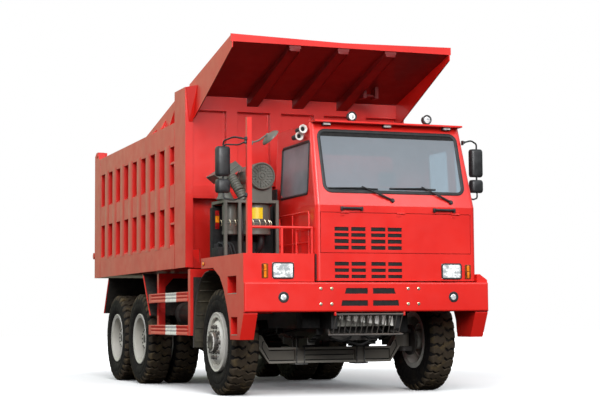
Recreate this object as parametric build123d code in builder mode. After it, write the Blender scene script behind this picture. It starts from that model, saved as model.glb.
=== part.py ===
"""Six-wheel-position mining dump truck with a forward cab on its left side and a canopied rock body.

Millimetres, +Z up. The front faces -Y and the driver's (left) side is +X. The origin is on the
ground, midway along the truck's length and width. Places along the truck are given from the front
axle and turned into model places by at().
"""

from build123d import *
from math import hypot, sqrt
import os

os.makedirs("parts", exist_ok=True)

# Overall layout
BUMPER_OVERHANG = 1407.0  # front axle to the heads of the bumper's bolts
WHEELBASE = 3816.0  # front axle to the middle axle
BOGIE_SPACING = 1442.0  # middle axle to the rear axle
MIDDLE_AXLE = WHEELBASE
REAR_AXLE = WHEELBASE + BOGIE_SPACING
BODY_REAR = REAR_AXLE + 1342.0
LOCK_PEG_R = 55.0
LOCK_PEG_Y = BODY_REAR + 100.0  # the tailgate's lock pegs, the rearmost pieces
LENGTH = BUMPER_OVERHANG + LOCK_PEG_Y + LOCK_PEG_R
HALF_WIDTH = 1660.0  # bumper, fenders and dump body
FRONT_AXLE_Y = BUMPER_OVERHANG - LENGTH / 2
FIT_GAP = 0.3  # between faces that seat on each other
RUN_GAP = 5.0  # between pieces that move past each other
PIN_GAP = 1.0  # round a pin or a shaft in its bore


def at(offset):
    """Turns a distance behind the front axle into a place along the model's Y."""
    return FRONT_AXLE_Y + offset


# Wheels and tyres
TYRE_R = 684.0
TYRE_W = 375.0
TREAD_HALF = 150.0
SHOULDER_DROP = 34.0
BEAD_R = 335.0
BEAD_HALF = 132.0
FLANGE_R = 385.0
FLANGE_T = 15.0
BARREL_T = 15.0
FRONT_TYRE_X = 1380.0
REAR_OUTER_X = 1428.0
REAR_INNER_X = 998.0
AXLE_Z = TYRE_R
SPINDLE_R = 55.0
WHEEL_DISC_T = 16.0
FRONT_DISC_X = (1505.0, 1582.0)  # outer face of the front disc's cone, at its rim and at its middle
FRONT_DISC_R = 240.0  # flat middle of the cone
FRONT_LIP_X = 1574.0  # outer edge of the front rim's lock ring
FRONT_HUB_R = 125.0
FRONT_HUB_END = 1650.0
FRONT_HUB_START = 1262.0
REAR_HUB_R = 175.0
REAR_HUB_END = 1500.0
REAR_HUB_START = 850.0
DRUM_R = 250.0
DRUM_LENGTH = 200.0
DRUM_T = 25.0
HUB_CAP_T = 30.0

# Axles, steering and springs
KINGPIN_X = 1100.0
KINGPIN_R = 28.0
EYE_R = 68.0
EYE_HALF = 85.0  # half height of the axle's eye
LUG_T = 60.0
LUG_R = 75.0
BEAM_Z = (395.0, 605.0)
BEAM_HALF_T = 60.0
BEAM_WEB_T = 34.0
BEAM_FLANGE_T = 32.0
BEAM_SEAT_HALF = 70.0  # solid part of the beam under a spring
BEAM_FLAT_X = 870.0  # where the beam begins to rise to its ends
PLATE_X = 1205.0  # outer face of the knuckle's back plate
PLATE_T = 28.0
BACK_PLATE_R = 205.0
STEER_ARM = 240.0
SPRING_X = 430.0
SPRING_W = 90.0
LEAF_T = 22.0
FRONT_LEAVES = (760.0, 650.0, 530.0, 400.0, 260.0)  # half lengths
FRONT_CAMBER = 95.0
SHACKLE_HALF = 30.0
HUSK_R = 105.0  # rear axle tube
BANJO_R = 255.0
BANJO_HALF = 150.0
BOGIE_SPRING_X = 566.0
BOGIE_SPRING_W = 110.0
BOGIE_LEAVES = (760.0, 620.0, 480.0, 340.0)
BOGIE_CAMBER = 60.0
TRUNNION_HALF = 130.0
TRUNNION_Z = (560.0, 1080.0)
AXLE_PAD_RISE = 10.0
AXLE_PAD_HALF = (60.0, 70.0)  # half width and half length of the spring pads

# Frame
RAIL_X = 430.0
RAIL_W = 80.0
RAIL_Z = (850.0, 1200.0)
RAIL_REAR = REAR_AXLE + 992.0
RAIL_INNER = RAIL_X - RAIL_W / 2
RAIL_OUTER = RAIL_X + RAIL_W / 2
CROSS_Z = (1010.0, 1170.0)
CROSS_T = 90.0
CROSS_PLACES = (
    -1200.0,
    1480.0,
    MIDDLE_AXLE - 836.0,
    MIDDLE_AXLE - 256.0,
    RAIL_REAR - CROSS_T / 2,
)
TOW_PIN_Y = RAIL_REAR + 75.0
TOW_PIN_R = 20.0
TOW_PLATES_Z = ((1030.0, 1058.0), (1122.0, 1150.0))
TOW_HALF = 75.0
TOW_REAR = RAIL_REAR + 135.0
PIVOT_Y = REAR_AXLE + 742.0  # dump body hinge
PIVOT_Z = 1300.0
PIVOT_R = 45.0
EAR_R = 88.0
EAR_T = 70.0
EAR_X = 505.0  # inner face of the body's hinge ear
UPRIGHT_HALF = 100.0  # half length of the frame's uprights under the hinge
UPRIGHT_WALL = 20.0  # over the hinge shaft
HANGER_HALF = 60.0
HANGER_WALL = 15.0  # under the hoist's lower pin
PIN_PROUD = 15.0
HOIST_LOW = (MIDDLE_AXLE - 2216.0, 620.0)  # lower pin, behind the axle and above ground
HOIST_HIGH = (MIDDLE_AXLE - 1016.0, 1600.0)  # upper pin
HOIST_X = 580.0
HOIST_R = (100.0, 80.0, 58.0)  # barrel, sleeve, rod
HOIST_PIN_R = 40.0
HOIST_EYE_W = 100.0
ENGINE_X = 320.0
ENGINE_Y = (-880.0, 430.0)
ENGINE_Z = (700.0, 1545.0)
GEARBOX_X = 210.0
GEARBOX_Y = (430.0, 1330.0)
GEARBOX_Z = (745.0, 1210.0)
RADIATOR_X = RAIL_INNER - FIT_GAP
RADIATOR_Y = (-1110.0, -990.0)
RADIATOR_Z = (880.0, 1545.0)
SHAFT_R = 62.0
SHAFT_FLANGE_R = 92.0
SHAFT_FLANGE_T = 60.0
SHAFT_FRONT_Z = 930.0
SHAFT_RISE = 45.0  # drive shaft's rear end above the axle's middle

# Bumper and sump guard
BUMPER_Z = (1060.0, 1427.0)
BOLT_STAND = 7.0
BUMPER_FACE = BOLT_STAND - BUMPER_OVERHANG
BUMPER_FACE_T = 35.0
BOLT_R = 14.0
BOLT_X = (520.0, 665.0)
BOLT_Z = (1156.0, 1347.0)
BUMPER_BACK_X = 1190.0
BUMPER_BACK_Y = -1255.0
RAIL_FRONT = BUMPER_BACK_Y + FIT_GAP
BUMPER_RADIUS = 22.0
SLOT_UPPER_Z = (1284.0, 1354.0)
SLOT_LOWER_Z = (1134.0, 1202.0)
SLOT_X = (35.0, 335.0)
SLOT_LOWER_X = (35.0, 388.0)
SLOT_DEPTH = 60.0
FOG_X = 1155.0
FOG_Z = 1243.0
FOG_R = 62.0
FOG_DEPTH = 33.0
FOG_INSET = 4.0
GUARD_TOP = (-1375.0, 1028.0)  # y, z of the top tube
GUARD_LOW = (-1240.0, 775.0)
GUARD_HALF = 510.0
GUARD_TUBE_R = 14.0
GUARD_BAR_R = 6.5
GUARD_TAB_X = (460.0, 478.0)
GUARD_FOOT_Y = (-1140.0, -1060.0)
GUARD_FOOT_HALF = 40.0
GUARD_FOOT_H = 50.0
GUARD_BARS = 13

# Fenders with their step legs
FENDER_TOP_Z = 1778.0
FENDER_INNER_X = 735.0
FENDER_FRONT = BUMPER_FACE + BUMPER_FACE_T + FIT_GAP
FENDER_REAR = 368.0
FENDER_UNDER_Z = 1645.0
LEG_INNER_X = 1200.0
LEG_LOW_Z = 727.0
LEG_OUTER_X = 1480.0  # the leg is narrower under the bumper
ARCH = (  # y, z down the front of the wheel arch
    (-150.0, 1640.0),
    (-426.0, 1521.0),
    (-581.0, 1366.0),
    (-711.0, 1161.0),
    (-817.0, 945.0),
    (-849.0, LEG_LOW_Z),
)
LEG_TOE = (-1216.0, LEG_LOW_Z)
LEG_CHIN = (FENDER_FRONT, 1036.0)
FENDER_PANEL_T = 30.0
STEP_UPPER = ((-1097.0, -750.0), (1289.0, 1512.0))
STEP_LOWER = ((-1128.0, -880.0), (780.0, 1005.0))
STEP_UPPER_DEPTH = 260.0
STEP_LOWER_DEPTH = 160.0
LEDGE_TOP_Z = 1535.0  # left sill's top
LEDGE_GAP = 8.0
BRACKET_X = 755.0
BRACKET_T = 45.0
BRACKET_LEDGE = 120.0
BRACKET_Z = (RAIL_Z[1] - 100.0, RAIL_Z[1] - 20.0)
BRACKET_PLACES = (-1235.0, 300.0)

# Deck equipment on the right fender
POST_X = (-1600.0, -1540.0)
POST_Y = (-1355.0, -1295.0)
POST_TOP_Z = 3445.0
RAILING_Z = 2100.0
RAILING_X = (POST_X[1], -750.0)
RAILING_RUN = 560.0  # from the post to the rear stanchion
RAILING_TUBE_R = 17.0
CLEANER_X = -1080.0
CLEANER_Y = (-400.0, 150.0)
CLEANER_Z = 2820.0
CLEANER_R = 172.0
SADDLE_HALF = 150.0
SADDLE_INSET = 20.0
SADDLE_RISE = 90.0
CANISTER_LOW_Z = 2070.0
CANISTERS = ((-1080.0, 165.0), (-1455.0, 66.0))  # middle's x and radius
CANISTER_Y = -140.0
RACK_X = (-1580.0, -840.0)
RACK_Y = (-390.0, 160.0)
RACK_Z = 2510.0
RACK_LEG = 38.0
RACK_MIDDLE_X = -1391.0
HOOD_X = (-1640.0, -1250.0)
HOOD_Y = (-120.0, 240.0)
HOOD_Z = (2790.0, 3030.0)
HOOD_RISER_R = 75.0

# Cab
CAB_X = 400.0  # middle of the cab
CAB_WALL = 45.0
CAB_CORNER = 60.0
CAB_REAR = 180.0
CAB_SECTIONS = (  # height, half width, front
    (1443.0, 1107.0, -1360.0),
    (2387.0, 1107.0, -1360.0),
    (3455.0, 1055.0, -1045.0),
)
CAB_FLOOR_Z = 1600.0
CAB_APRON_Y = -1190.0  # rear of the low front apron
FIREWALL_T = 150.0
CAB_ROOF_T = 45.0
SCREEN_X = (-555.0, 1360.0)
SCREEN_Z = (2575.0, 3350.0)
SCREEN_RADIUS = 90.0
GLASS_T = 8.0
GLASS_INSET = 6.0
SIDE_WINDOW_Y = (-1060.0, -95.0)
SIDE_WINDOW_Z = (2556.0, 3215.0)
DOOR_Y = (-800.0, 20.0)
DOOR_Z = (1655.0, 3290.0)
DOOR_WINDOW_Y = (-725.0, -95.0)
DOOR_WINDOW_Z = (2500.0, 3215.0)
QUARTER_WINDOW_Y = (-1060.0, -870.0)
DOOR_GAP = 6.0
DOOR_RADIUS = 70.0
QUARTER_RADIUS = 40.0
REAR_WINDOW_X = (-250.0, 1050.0)
REAR_WINDOW_Z = (2700.0, 3200.0)
HATCH_X = (-650.0, 1433.0)
HATCH_Z = (1789.0, 2300.0)
HATCH_T = 28.0
HATCH_GAP = 6.0
HATCH_DEPTH = 90.0
HINGE_R = 9.0
HINGE_PIN_R = 4.5
HINGE_W = 55.0  # length of one hinge barrel
HINGE_LEAF = 42.0
HINGE_LEAF_T = 6.0
HINGE_STAND = 12.0  # axis in front of the hinged face
HATCH_HINGES = (-380.0, 391.5, 1163.0)
DOOR_HINGES = (1850.0, 2240.0)
GRILLE_COLUMNS = ((-460.0, -270.0), (-235.0, -40.0), (35.0, 232.0), (265.0, 458.0))
GRILLE_UPPER = ((1835.0, 1881.0), (1913.0, 1963.0), (1994.0, 2039.0), (2066.0, 2115.0))
GRILLE_LOWER = ((1478.0, 1520.0), (1555.0, 1598.0), (1633.0, 1680.0))
VISOR_Y = (-1175.0, -960.0)
VISOR_T = 22.0
VISOR_HALF = 1035.0
WORK_LAMP_X = (-100.0, 960.0)
WORK_LAMP_Y = (-1095.0, -1035.0)
WORK_LAMP_R = 54.0
WORK_LAMP_RISE = 70.0
WORK_STALK_HALF = (8.0, 15.0)
CAB_LEG_R = 38.0
CAB_LEG_INSET = 90.0
CUT_REACH = 60.0  # how far a window's cut runs past the wall

# Driver's seat, dashboard and steering wheel, from the cab's deck
CAB_DECK = CAB_FLOOR_Z + CAB_WALL
SEAT_X = 900.0
SEAT_HALF = 260.0
SEAT_Y = (-520.0, -20.0)
SEAT_Z = (CAB_DECK + 330.0, CAB_DECK + 460.0)
SEAT_BOX_HALF = 170.0
SEAT_BOX_INSET = 90.0
SEAT_BACK_Y = (-130.0, 0.0)  # front face at the seat and at its top
SEAT_BACK_T = (110.0, 90.0)
SEAT_BACK_Z = (SEAT_Z[1] - 40.0, CAB_DECK + 1130.0)
SEAT_BACK_HALF = 250.0
HEADREST_HALF = 140.0
HEADREST_H = 200.0
HEADREST_LEAN = 15.0
DASH_LOW_Z = CAB_DECK + 480.0
DASH_DEPTH = 400.0
DASH_RISE = 60.0
DASH_INSET = 20.0
STEER_WHEEL_R = 225.0
STEER_RIM_R = 16.0
STEER_SPOKE = (45.0, 14.0)
STEER_PLACE = (-650.0, CAB_DECK + 860.0)  # y, z
COLUMN_R = 32.0

# Lamps and mirrors
HEADLAMP_X = (1012.0, 1286.0)
HEADLAMP_Z = (1475.0, 1665.0)
INDICATOR_X = (1345.0, 1420.0)
INDICATOR_Z = (1478.0, 1650.0)
LAMP_DEPTH = 40.0
LAMP_PROUD = 6.0
MIRROR_OUT_X = 1870.0
MIRROR_W = 185.0
MIRROR_T = 90.0
MIRROR_MAIN_H = 370.0
MIRROR_LOW_H = 170.0
MIRROR_SPLIT = 40.0
MIRROR_ARM_R = 11.0
MIRROR_ARM_RISE = 55.0
MIRROR_FOOT_T = 22.0
MIRROR_PILLAR_Y = -1085.0
RIGHT_MIRROR = (-950.0, 2540.0)  # y of the middle and z of the lower edge
LEFT_MIRROR = (-900.0, 2630.0)

# Side guards, tanks and mudguards
GUARD_POST_X = (HALF_WIDTH - 107.0, HALF_WIDTH - 7.0)
GUARD_POST_Y = (893.0, 1000.0)
GUARD_POST_Z = (760.0, 1660.0)
GUARD_REAR_X = (1440.0, 1540.0)
GUARD_REAR_Y = (MIDDLE_AXLE - 916.0, MIDDLE_AXLE - 826.0)
GUARD_RAILS_Z = ((760.0, 900.0), (1220.0, 1355.0))
GUARD_RAIL_T = 60.0
GUARD_RAIL_REAR = MIDDLE_AXLE - 766.0
GUARD_ARM_T = 70.0
GUARD_ARM_X = 720.0
GUARD_DROP_T = 50.0
GUARD_FOOT_Z = (RAIL_Z[0] + 200.0, RAIL_Z[1] - 20.0)
AIR_TANK_X = -1150.0
AIR_TANK_Z = 1060.0
AIR_TANK_R = 170.0
AIR_TANK_Y = (1350.0, MIDDLE_AXLE - 966.0)
AIR_TANK_ROUND = 40.0
FUEL_TANK_X = (800.0, 1430.0)
FUEL_TANK_Y = (1250.0, MIDDLE_AXLE - 1016.0)
FUEL_TANK_Z = (740.0, 1380.0)
FUEL_TANK_ROUND = 70.0
TANK_BRACKETS = (0.2, 0.8)  # shares of a tank's length
FLAP_X = (815.0, HALF_WIDTH - 20.0)
FLAP_T = 12.0
FLAP_TUBE_R = 18.0
FLAP_STAY_X = RAIL_OUTER + 12
FLAP_STAY_T = 20.0
# The flaps' upper and lower edges as y, z
FRONT_FLAP = ((MIDDLE_AXLE - 366.0, 1660.0), (MIDDLE_AXLE - 776.0, 1039.0))
REAR_FLAP = ((REAR_AXLE + 392.0, 1660.0), (REAR_AXLE + 725.0, 1086.0))
WHEEL_FLAP_X = (1180.0, 1610.0)
WHEEL_FLAP_Y = 880.0
WHEEL_FLAP_Z = (620.0, 1550.0)

# Dump body
BODY_FRONT = 1100.0
BODY_Z = 1690.0
BODY_FLOOR_T = 80.0
SIDE_INNER_X = HALF_WIDTH - 110.0
SIDE_SKIN_T = 25.0
RAIL_TOP_FRONT_Z = 3750.0
RAIL_TOP_REAR_Z = 3700.0
POST_REAR = 1635.0
POST_CREST_Z = RAIL_TOP_FRONT_Z + 433.0
WINDOW_W = 262.0
WINDOW_COUNT = 9
WINDOW_FIRST = 1760.0  # middle of the front window column
WINDOW_LAST = BODY_REAR - 624.0
WINDOW_PITCH = (WINDOW_LAST - WINDOW_FIRST) / (WINDOW_COUNT - 1)
WINDOW_NARROW = 50.0  # by how much the front column is narrower
WINDOW_BARS_Z = (2330.0, 3190.0)  # cross bars of the front column
WINDOW_BAR_T = 30.0
WINDOW_LOWER_Z = (2020.0, 2560.0)
WINDOW_UPPER_Z = (2875.0, 3420.0)
BODY_BEAM_X = 420.0
BODY_BEAM_W = 100.0
BODY_BEAM_Z = 1225.0
BODY_BEAM_Y = (1460.0, PIVOT_Y - 300.0)
HEAD_UPPER_Y = 1200.0
HEAD_LOWER_Y = 1350.0
HEAD_T = 60.0
HEAD_STEP_Z = 2650.0
HEAD_TOP_Z = POST_CREST_Z - 113.0
HEAD_RIB_X = (-980.0, -330.0, 330.0, 980.0)
HEAD_RIB_W = 160.0
HEAD_RIB_D = 90.0
HEAD_BAND_D = 30.0
HEAD_BAND_H = 180.0
HEAD_TOP_H = 200.0
GUSSET = 160.0
SPILL_REAR = 3740.0
CANOPY_HALF = HALF_WIDTH - 95.0
CANOPY_FRONT = -624.0
CANOPY_FRONT_Z = HEAD_TOP_Z + 447.0
CANOPY_T = 14.0
CANOPY_PLATE_T = 14.0
CANOPY_LIP_T = 14.0
CANOPY_TOP = ((CANOPY_FRONT, CANOPY_FRONT_Z + 100.0), (1268.0, HEAD_TOP_Z + 176.0))
CANOPY_LOW = ((-600.0, CANOPY_FRONT_Z - 77.0), (1040.0, RAIL_TOP_FRONT_Z))
CANOPY_DIP = 32.0
CANOPY_BEAM_X = (-680.0, 0.0, 680.0)
CANOPY_BEAM_W = 160.0
CANOPY_BEAM_D = 120.0
GATE_Y = (BODY_REAR - 120.0, BODY_REAR - 30.0)
GATE_Z = (1795.0, RAIL_TOP_REAR_Z - 60.0)
GATE_RIB_T = 55.0
GATE_HINGE = (BODY_REAR - 165.0, RAIL_TOP_REAR_Z + 85.0)
GATE_PIN_R = 30.0
GATE_EAR_R = 78.0
GATE_ARM_T = 50.0
LOCK_PEG_Z = 2075.0
LOCK_PEG_SEAT = 45.0
GATE_RIB_W = 140.0
GATE_BAND_H = 120.0
GATE_RIBS = (-0.75, -0.25, 0.25, 0.75)  # shares of the gate's half width
GATE_PIN_END = HALF_WIDTH - 4.0


def block(x, y, z, mode=Mode.ADD):
    """Adds a box to the open part, from its low and high place on each axis."""
    with Locations(((x[0] + x[1]) / 2, (y[0] + y[1]) / 2, (z[0] + z[1]) / 2)):
        Box(x[1] - x[0], y[1] - y[0], z[1] - z[0], mode=mode)


def span(values):
    """Turns a pair of places behind the front axle into model places."""
    return (at(values[0]), at(values[1]))


def mirrored(x):
    """The same X range on the other side of the truck."""
    return (-x[1], -x[0])


def sided(side, x):
    """An X range of the left side, taken over to the given side (1 left, -1 right)."""
    return sorted((side * x[0], side * x[1]))


def prism_x(points, x, mode=Mode.ADD):
    """Adds a prism along X whose outline is a list of (y, z) points."""
    with BuildSketch(Plane.YZ.offset(x[0])) as outline:
        with BuildLine():
            Polyline(*points, close=True)
        make_face()
    extrude(outline.sketch, amount=x[1] - x[0], mode=mode)


def prism_y(points, y, mode=Mode.ADD):
    """Adds a prism along Y whose outline is a list of (x, z) points."""
    with BuildSketch(Plane.XZ.offset(-y[1])) as outline:
        with BuildLine():
            Polyline(*points, close=True)
        make_face()
    extrude(outline.sketch, amount=y[1] - y[0], mode=mode)


def rod_x(radius, x, y, z, mode=Mode.ADD):
    """Adds a round bar along X, from x[0] to x[1], centred on (y, z)."""
    with Locations(((x[0] + x[1]) / 2, y, z)):
        Cylinder(radius, x[1] - x[0], rotation=(0, 90, 0), mode=mode)


def rod_y(radius, y, x, z, mode=Mode.ADD):
    """Adds a round bar along Y, from y[0] to y[1], centred on (x, z)."""
    with Locations((x, (y[0] + y[1]) / 2, z)):
        Cylinder(radius, y[1] - y[0], rotation=(90, 0, 0), mode=mode)


def rod_z(radius, z, x, y, mode=Mode.ADD):
    """Adds a round bar along Z, from z[0] to z[1], centred on (x, y)."""
    with Locations((x, y, (z[0] + z[1]) / 2)):
        Cylinder(radius, z[1] - z[0], mode=mode)


def bar(start, end, radius, mode=Mode.ADD):
    """Adds a round bar from one point to another."""
    run = Vector(*end) - Vector(*start)
    with BuildSketch(Plane(origin=start, z_dir=run)) as section:
        Circle(radius)
    extrude(section.sketch, amount=run.length, mode=mode)


# Frame rails with the hinge's uprights and the hoist's hangers
with BuildPart() as frame_rails:
    for side in (-1, 1):
        rail = sided(side, (RAIL_INNER, RAIL_OUTER))
        bore = sided(side, (RAIL_INNER - 1, RAIL_OUTER + 1))
        upright_z = (RAIL_Z[1], PIVOT_Z + PIVOT_R + UPRIGHT_WALL)
        hanger_z = (HOIST_LOW[1] - HOIST_PIN_R - HANGER_WALL, RAIL_Z[0])
        block(rail, span((RAIL_FRONT, RAIL_REAR)), RAIL_Z)
        block(rail, span((PIVOT_Y - UPRIGHT_HALF, PIVOT_Y + UPRIGHT_HALF)), upright_z)
        block(rail, span((HOIST_LOW[0] - HANGER_HALF, HOIST_LOW[0] + HANGER_HALF)), hanger_z)
        rod_x(PIVOT_R + FIT_GAP, bore, at(PIVOT_Y), PIVOT_Z, Mode.SUBTRACT)
        rod_x(HOIST_PIN_R + FIT_GAP, bore, at(HOIST_LOW[0]), HOIST_LOW[1], Mode.SUBTRACT)
frame_rails.part.label = "frame_rails"
export_step(frame_rails.part, "parts/frame_rails.step")

# Cross members between the rails, with the hinge shaft and the hoist's lower shaft through them
with BuildPart() as cross_members:
    cross_half = RAIL_INNER - FIT_GAP
    for place in CROSS_PLACES:
        block((-cross_half, cross_half), span((place - CROSS_T / 2, place + CROSS_T / 2)), CROSS_Z)
    hinge_reach = EAR_X + EAR_T + PIN_PROUD
    rod_x(PIVOT_R, (-hinge_reach, hinge_reach), at(PIVOT_Y), PIVOT_Z)
    hanger_reach = HOIST_X + HOIST_EYE_W / 2 + PIN_PROUD
    rod_x(HOIST_PIN_R, (-hanger_reach, hanger_reach), at(HOIST_LOW[0]), HOIST_LOW[1])
    # Towing jaw on the last cross member
    for z in TOW_PLATES_Z:
        block((-TOW_HALF, TOW_HALF), span((RAIL_REAR - 1, TOW_REAR)), z)
        rod_z(TOW_PIN_R, (z[0] - 1, z[1] + 1), 0, at(TOW_PIN_Y), Mode.SUBTRACT)
cross_members.part.label = "cross_members"
export_step(cross_members.part, "parts/cross_members.step")

# Engine with its gearbox behind it, as plain blocks
with BuildPart() as engine_block:
    block((-ENGINE_X, ENGINE_X), span(ENGINE_Y), ENGINE_Z)
    block((-GEARBOX_X, GEARBOX_X), span(GEARBOX_Y), GEARBOX_Z)
engine_block.part.label = "engine_block"
export_step(engine_block.part, "parts/engine_block.step")

# Radiator in front of the engine, on the first cross member
with BuildPart() as radiator:
    block((-RADIATOR_X, RADIATOR_X), span(RADIATOR_Y), RADIATOR_Z)
radiator.part.label = "radiator"
export_step(radiator.part, "parts/radiator.step")

# Rear axle housings: tube, banjo and spindles of each
with BuildPart() as rear_axles:
    for axle in (MIDDLE_AXLE, REAR_AXLE):
        rod_x(HUSK_R, (-REAR_HUB_START + RUN_GAP, REAR_HUB_START - RUN_GAP), at(axle), AXLE_Z)
        rod_y(BANJO_R, span((axle - BANJO_HALF, axle + BANJO_HALF)), 0, AXLE_Z)
        rod_x(SPINDLE_R, (-REAR_HUB_END + 40, REAR_HUB_END - 40), at(axle), AXLE_Z)
        for side in (-1, 1):
            pad = sided(side, (BOGIE_SPRING_X - AXLE_PAD_HALF[0], BOGIE_SPRING_X + AXLE_PAD_HALF[0]))
            pad_y = span((axle - AXLE_PAD_HALF[1], axle + AXLE_PAD_HALF[1]))
            block(pad, pad_y, (AXLE_Z, AXLE_Z + HUSK_R + AXLE_PAD_RISE))
rear_axles.part.label = "rear_axles"
export_step(rear_axles.part, "parts/rear_axles.step")

# Drive shafts from the gearbox to the middle axle, and on to the rear axle
with BuildPart() as drive_shafts:
    shaft_rear = MIDDLE_AXLE - BANJO_HALF
    shaft_z = AXLE_Z + SHAFT_RISE
    front_flange = span((GEARBOX_Y[1] + FIT_GAP, GEARBOX_Y[1] + SHAFT_FLANGE_T))
    rear_flange = span((shaft_rear - SHAFT_FLANGE_T * 1.5, shaft_rear - FIT_GAP))
    rod_y(SHAFT_FLANGE_R, front_flange, 0, SHAFT_FRONT_Z)
    bar(
        (0, at(GEARBOX_Y[1] + SHAFT_FLANGE_T / 2), SHAFT_FRONT_Z),
        (0, at(shaft_rear) - SHAFT_R, shaft_z),
        SHAFT_R,
    )
    rod_y(SHAFT_FLANGE_R, rear_flange, 0, shaft_z)
    between = span((MIDDLE_AXLE + BANJO_HALF + FIT_GAP, REAR_AXLE - BANJO_HALF - FIT_GAP))
    rod_y(SHAFT_R, between, 0, shaft_z)
drive_shafts.part.label = "drive_shafts"
export_step(drive_shafts.part, "parts/drive_shafts.step")

# Front axle: I-section beam whose ends rise to the kingpin eyes
with BuildPart() as front_axle_beam:
    eye_low = AXLE_Z - EYE_HALF
    eye_high = AXLE_Z + EYE_HALF
    half_outline = [
        (BEAM_FLAT_X, BEAM_Z[0]),
        (KINGPIN_X - LUG_R - 2 * RUN_GAP, eye_low),
        (KINGPIN_X, eye_low),
        (KINGPIN_X, eye_high),
        (KINGPIN_X - 120, eye_high),
        (BEAM_FLAT_X, BEAM_Z[1]),
    ]
    outline_points = half_outline + [(-x, z) for x, z in reversed(half_outline)]
    prism_y(outline_points, span((-BEAM_HALF_T, BEAM_HALF_T)))
    for side in (-1, 1):
        web = sorted((side * BEAM_WEB_T / 2, side * (BEAM_HALF_T + 1)))
        seat_inner, seat_outer = SPRING_X - BEAM_SEAT_HALF, SPRING_X + BEAM_SEAT_HALF
        web_z = (BEAM_Z[0] + BEAM_FLANGE_T, BEAM_Z[1] - BEAM_FLANGE_T)
        for x in ((-seat_inner, seat_inner), (seat_outer, BEAM_FLAT_X), (-BEAM_FLAT_X, -seat_outer)):
            block(x, span(web), web_z, Mode.SUBTRACT)
        rod_z(EYE_R, (eye_low, eye_high), side * KINGPIN_X, at(0))
    for side in (-1, 1):
        rod_z(KINGPIN_R + PIN_GAP, (eye_low - 1, eye_high + 1), side * KINGPIN_X, at(0), Mode.SUBTRACT)
front_axle_beam.part.label = "front_axle_beam"
export_step(front_axle_beam.part, "parts/front_axle_beam.step")


def leaf_outline(centre_y, low_z, half_lengths, camber, up):
    """Outline of a leaf pack as (y, z) points, its ends bent up or down by the camber."""
    main = half_lengths[0]

    def lift(y):
        return up * camber * (y / main) ** 2

    count = len(half_lengths)
    base = low_z + (count * LEAF_T - lift(half_lengths[-1]) if up > 0 else 0)
    inner = [(y, base + lift(y)) for y in (main, main / 2, 0, -main / 2, -main)]
    outer = []
    for index, half in enumerate(half_lengths):
        outer.append((-half, base + lift(half) - up * (index + 1) * LEAF_T))
        if index + 1 < count:
            following = half_lengths[index + 1]
            outer.append((-following, base + lift(following) - up * (index + 1) * LEAF_T))
    outer = outer + [(-y, z) for y, z in reversed(outer)]
    return [(centre_y + y, z) for y, z in inner + outer]


# Front leaf springs, on the axle beam and hung from the rails at both ends
with BuildPart() as front_springs:
    for side in (-1, 1):
        x = sorted((side * (SPRING_X - SPRING_W / 2), side * (SPRING_X + SPRING_W / 2)))
        seat = BEAM_Z[1] + FIT_GAP
        prism_x(leaf_outline(at(0), seat, FRONT_LEAVES, FRONT_CAMBER, 1), x)
        rise = FRONT_CAMBER * (1 - (FRONT_LEAVES[-1] / FRONT_LEAVES[0]) ** 2)
        top = seat + len(FRONT_LEAVES) * LEAF_T + rise
        for end in (-1, 1):
            place = end * (FRONT_LEAVES[0] - SHACKLE_HALF)
            shackle_y = span((place - SHACKLE_HALF, place + SHACKLE_HALF))
            block(x, shackle_y, (top - LEAF_T, RAIL_Z[0] - FIT_GAP))
front_springs.part.label = "front_springs"
export_step(front_springs.part, "parts/front_springs.step")

# Bogie springs: inverted leaf packs on trunnions, with torque rods
with BuildPart() as bogie_springs:
    middle = at(MIDDLE_AXLE + BOGIE_SPACING / 2)
    pad_top = AXLE_Z + HUSK_R + AXLE_PAD_RISE + FIT_GAP
    pack_top = pad_top + BOGIE_CAMBER + LEAF_T * len(BOGIE_LEAVES)
    for side in (-1, 1):
        spring_outer = BOGIE_SPRING_X + BOGIE_SPRING_W / 2
        x = sided(side, (spring_outer - BOGIE_SPRING_W, spring_outer))
        trunnion_y = (middle - TRUNNION_HALF, middle + TRUNNION_HALF)
        prism_x(leaf_outline(middle, pad_top + BOGIE_CAMBER, BOGIE_LEAVES, BOGIE_CAMBER, -1), x)
        block(x, trunnion_y, (TRUNNION_Z[0], pad_top + BOGIE_CAMBER + LEAF_T))
        hanger = sided(side, (RAIL_OUTER + FIT_GAP, spring_outer))
        block(hanger, trunnion_y, (pack_top - BOGIE_CAMBER / 2, TRUNNION_Z[1]))
bogie_springs.part.label = "bogie_springs"
export_step(bogie_springs.part, "parts/bogie_springs.step")

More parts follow.
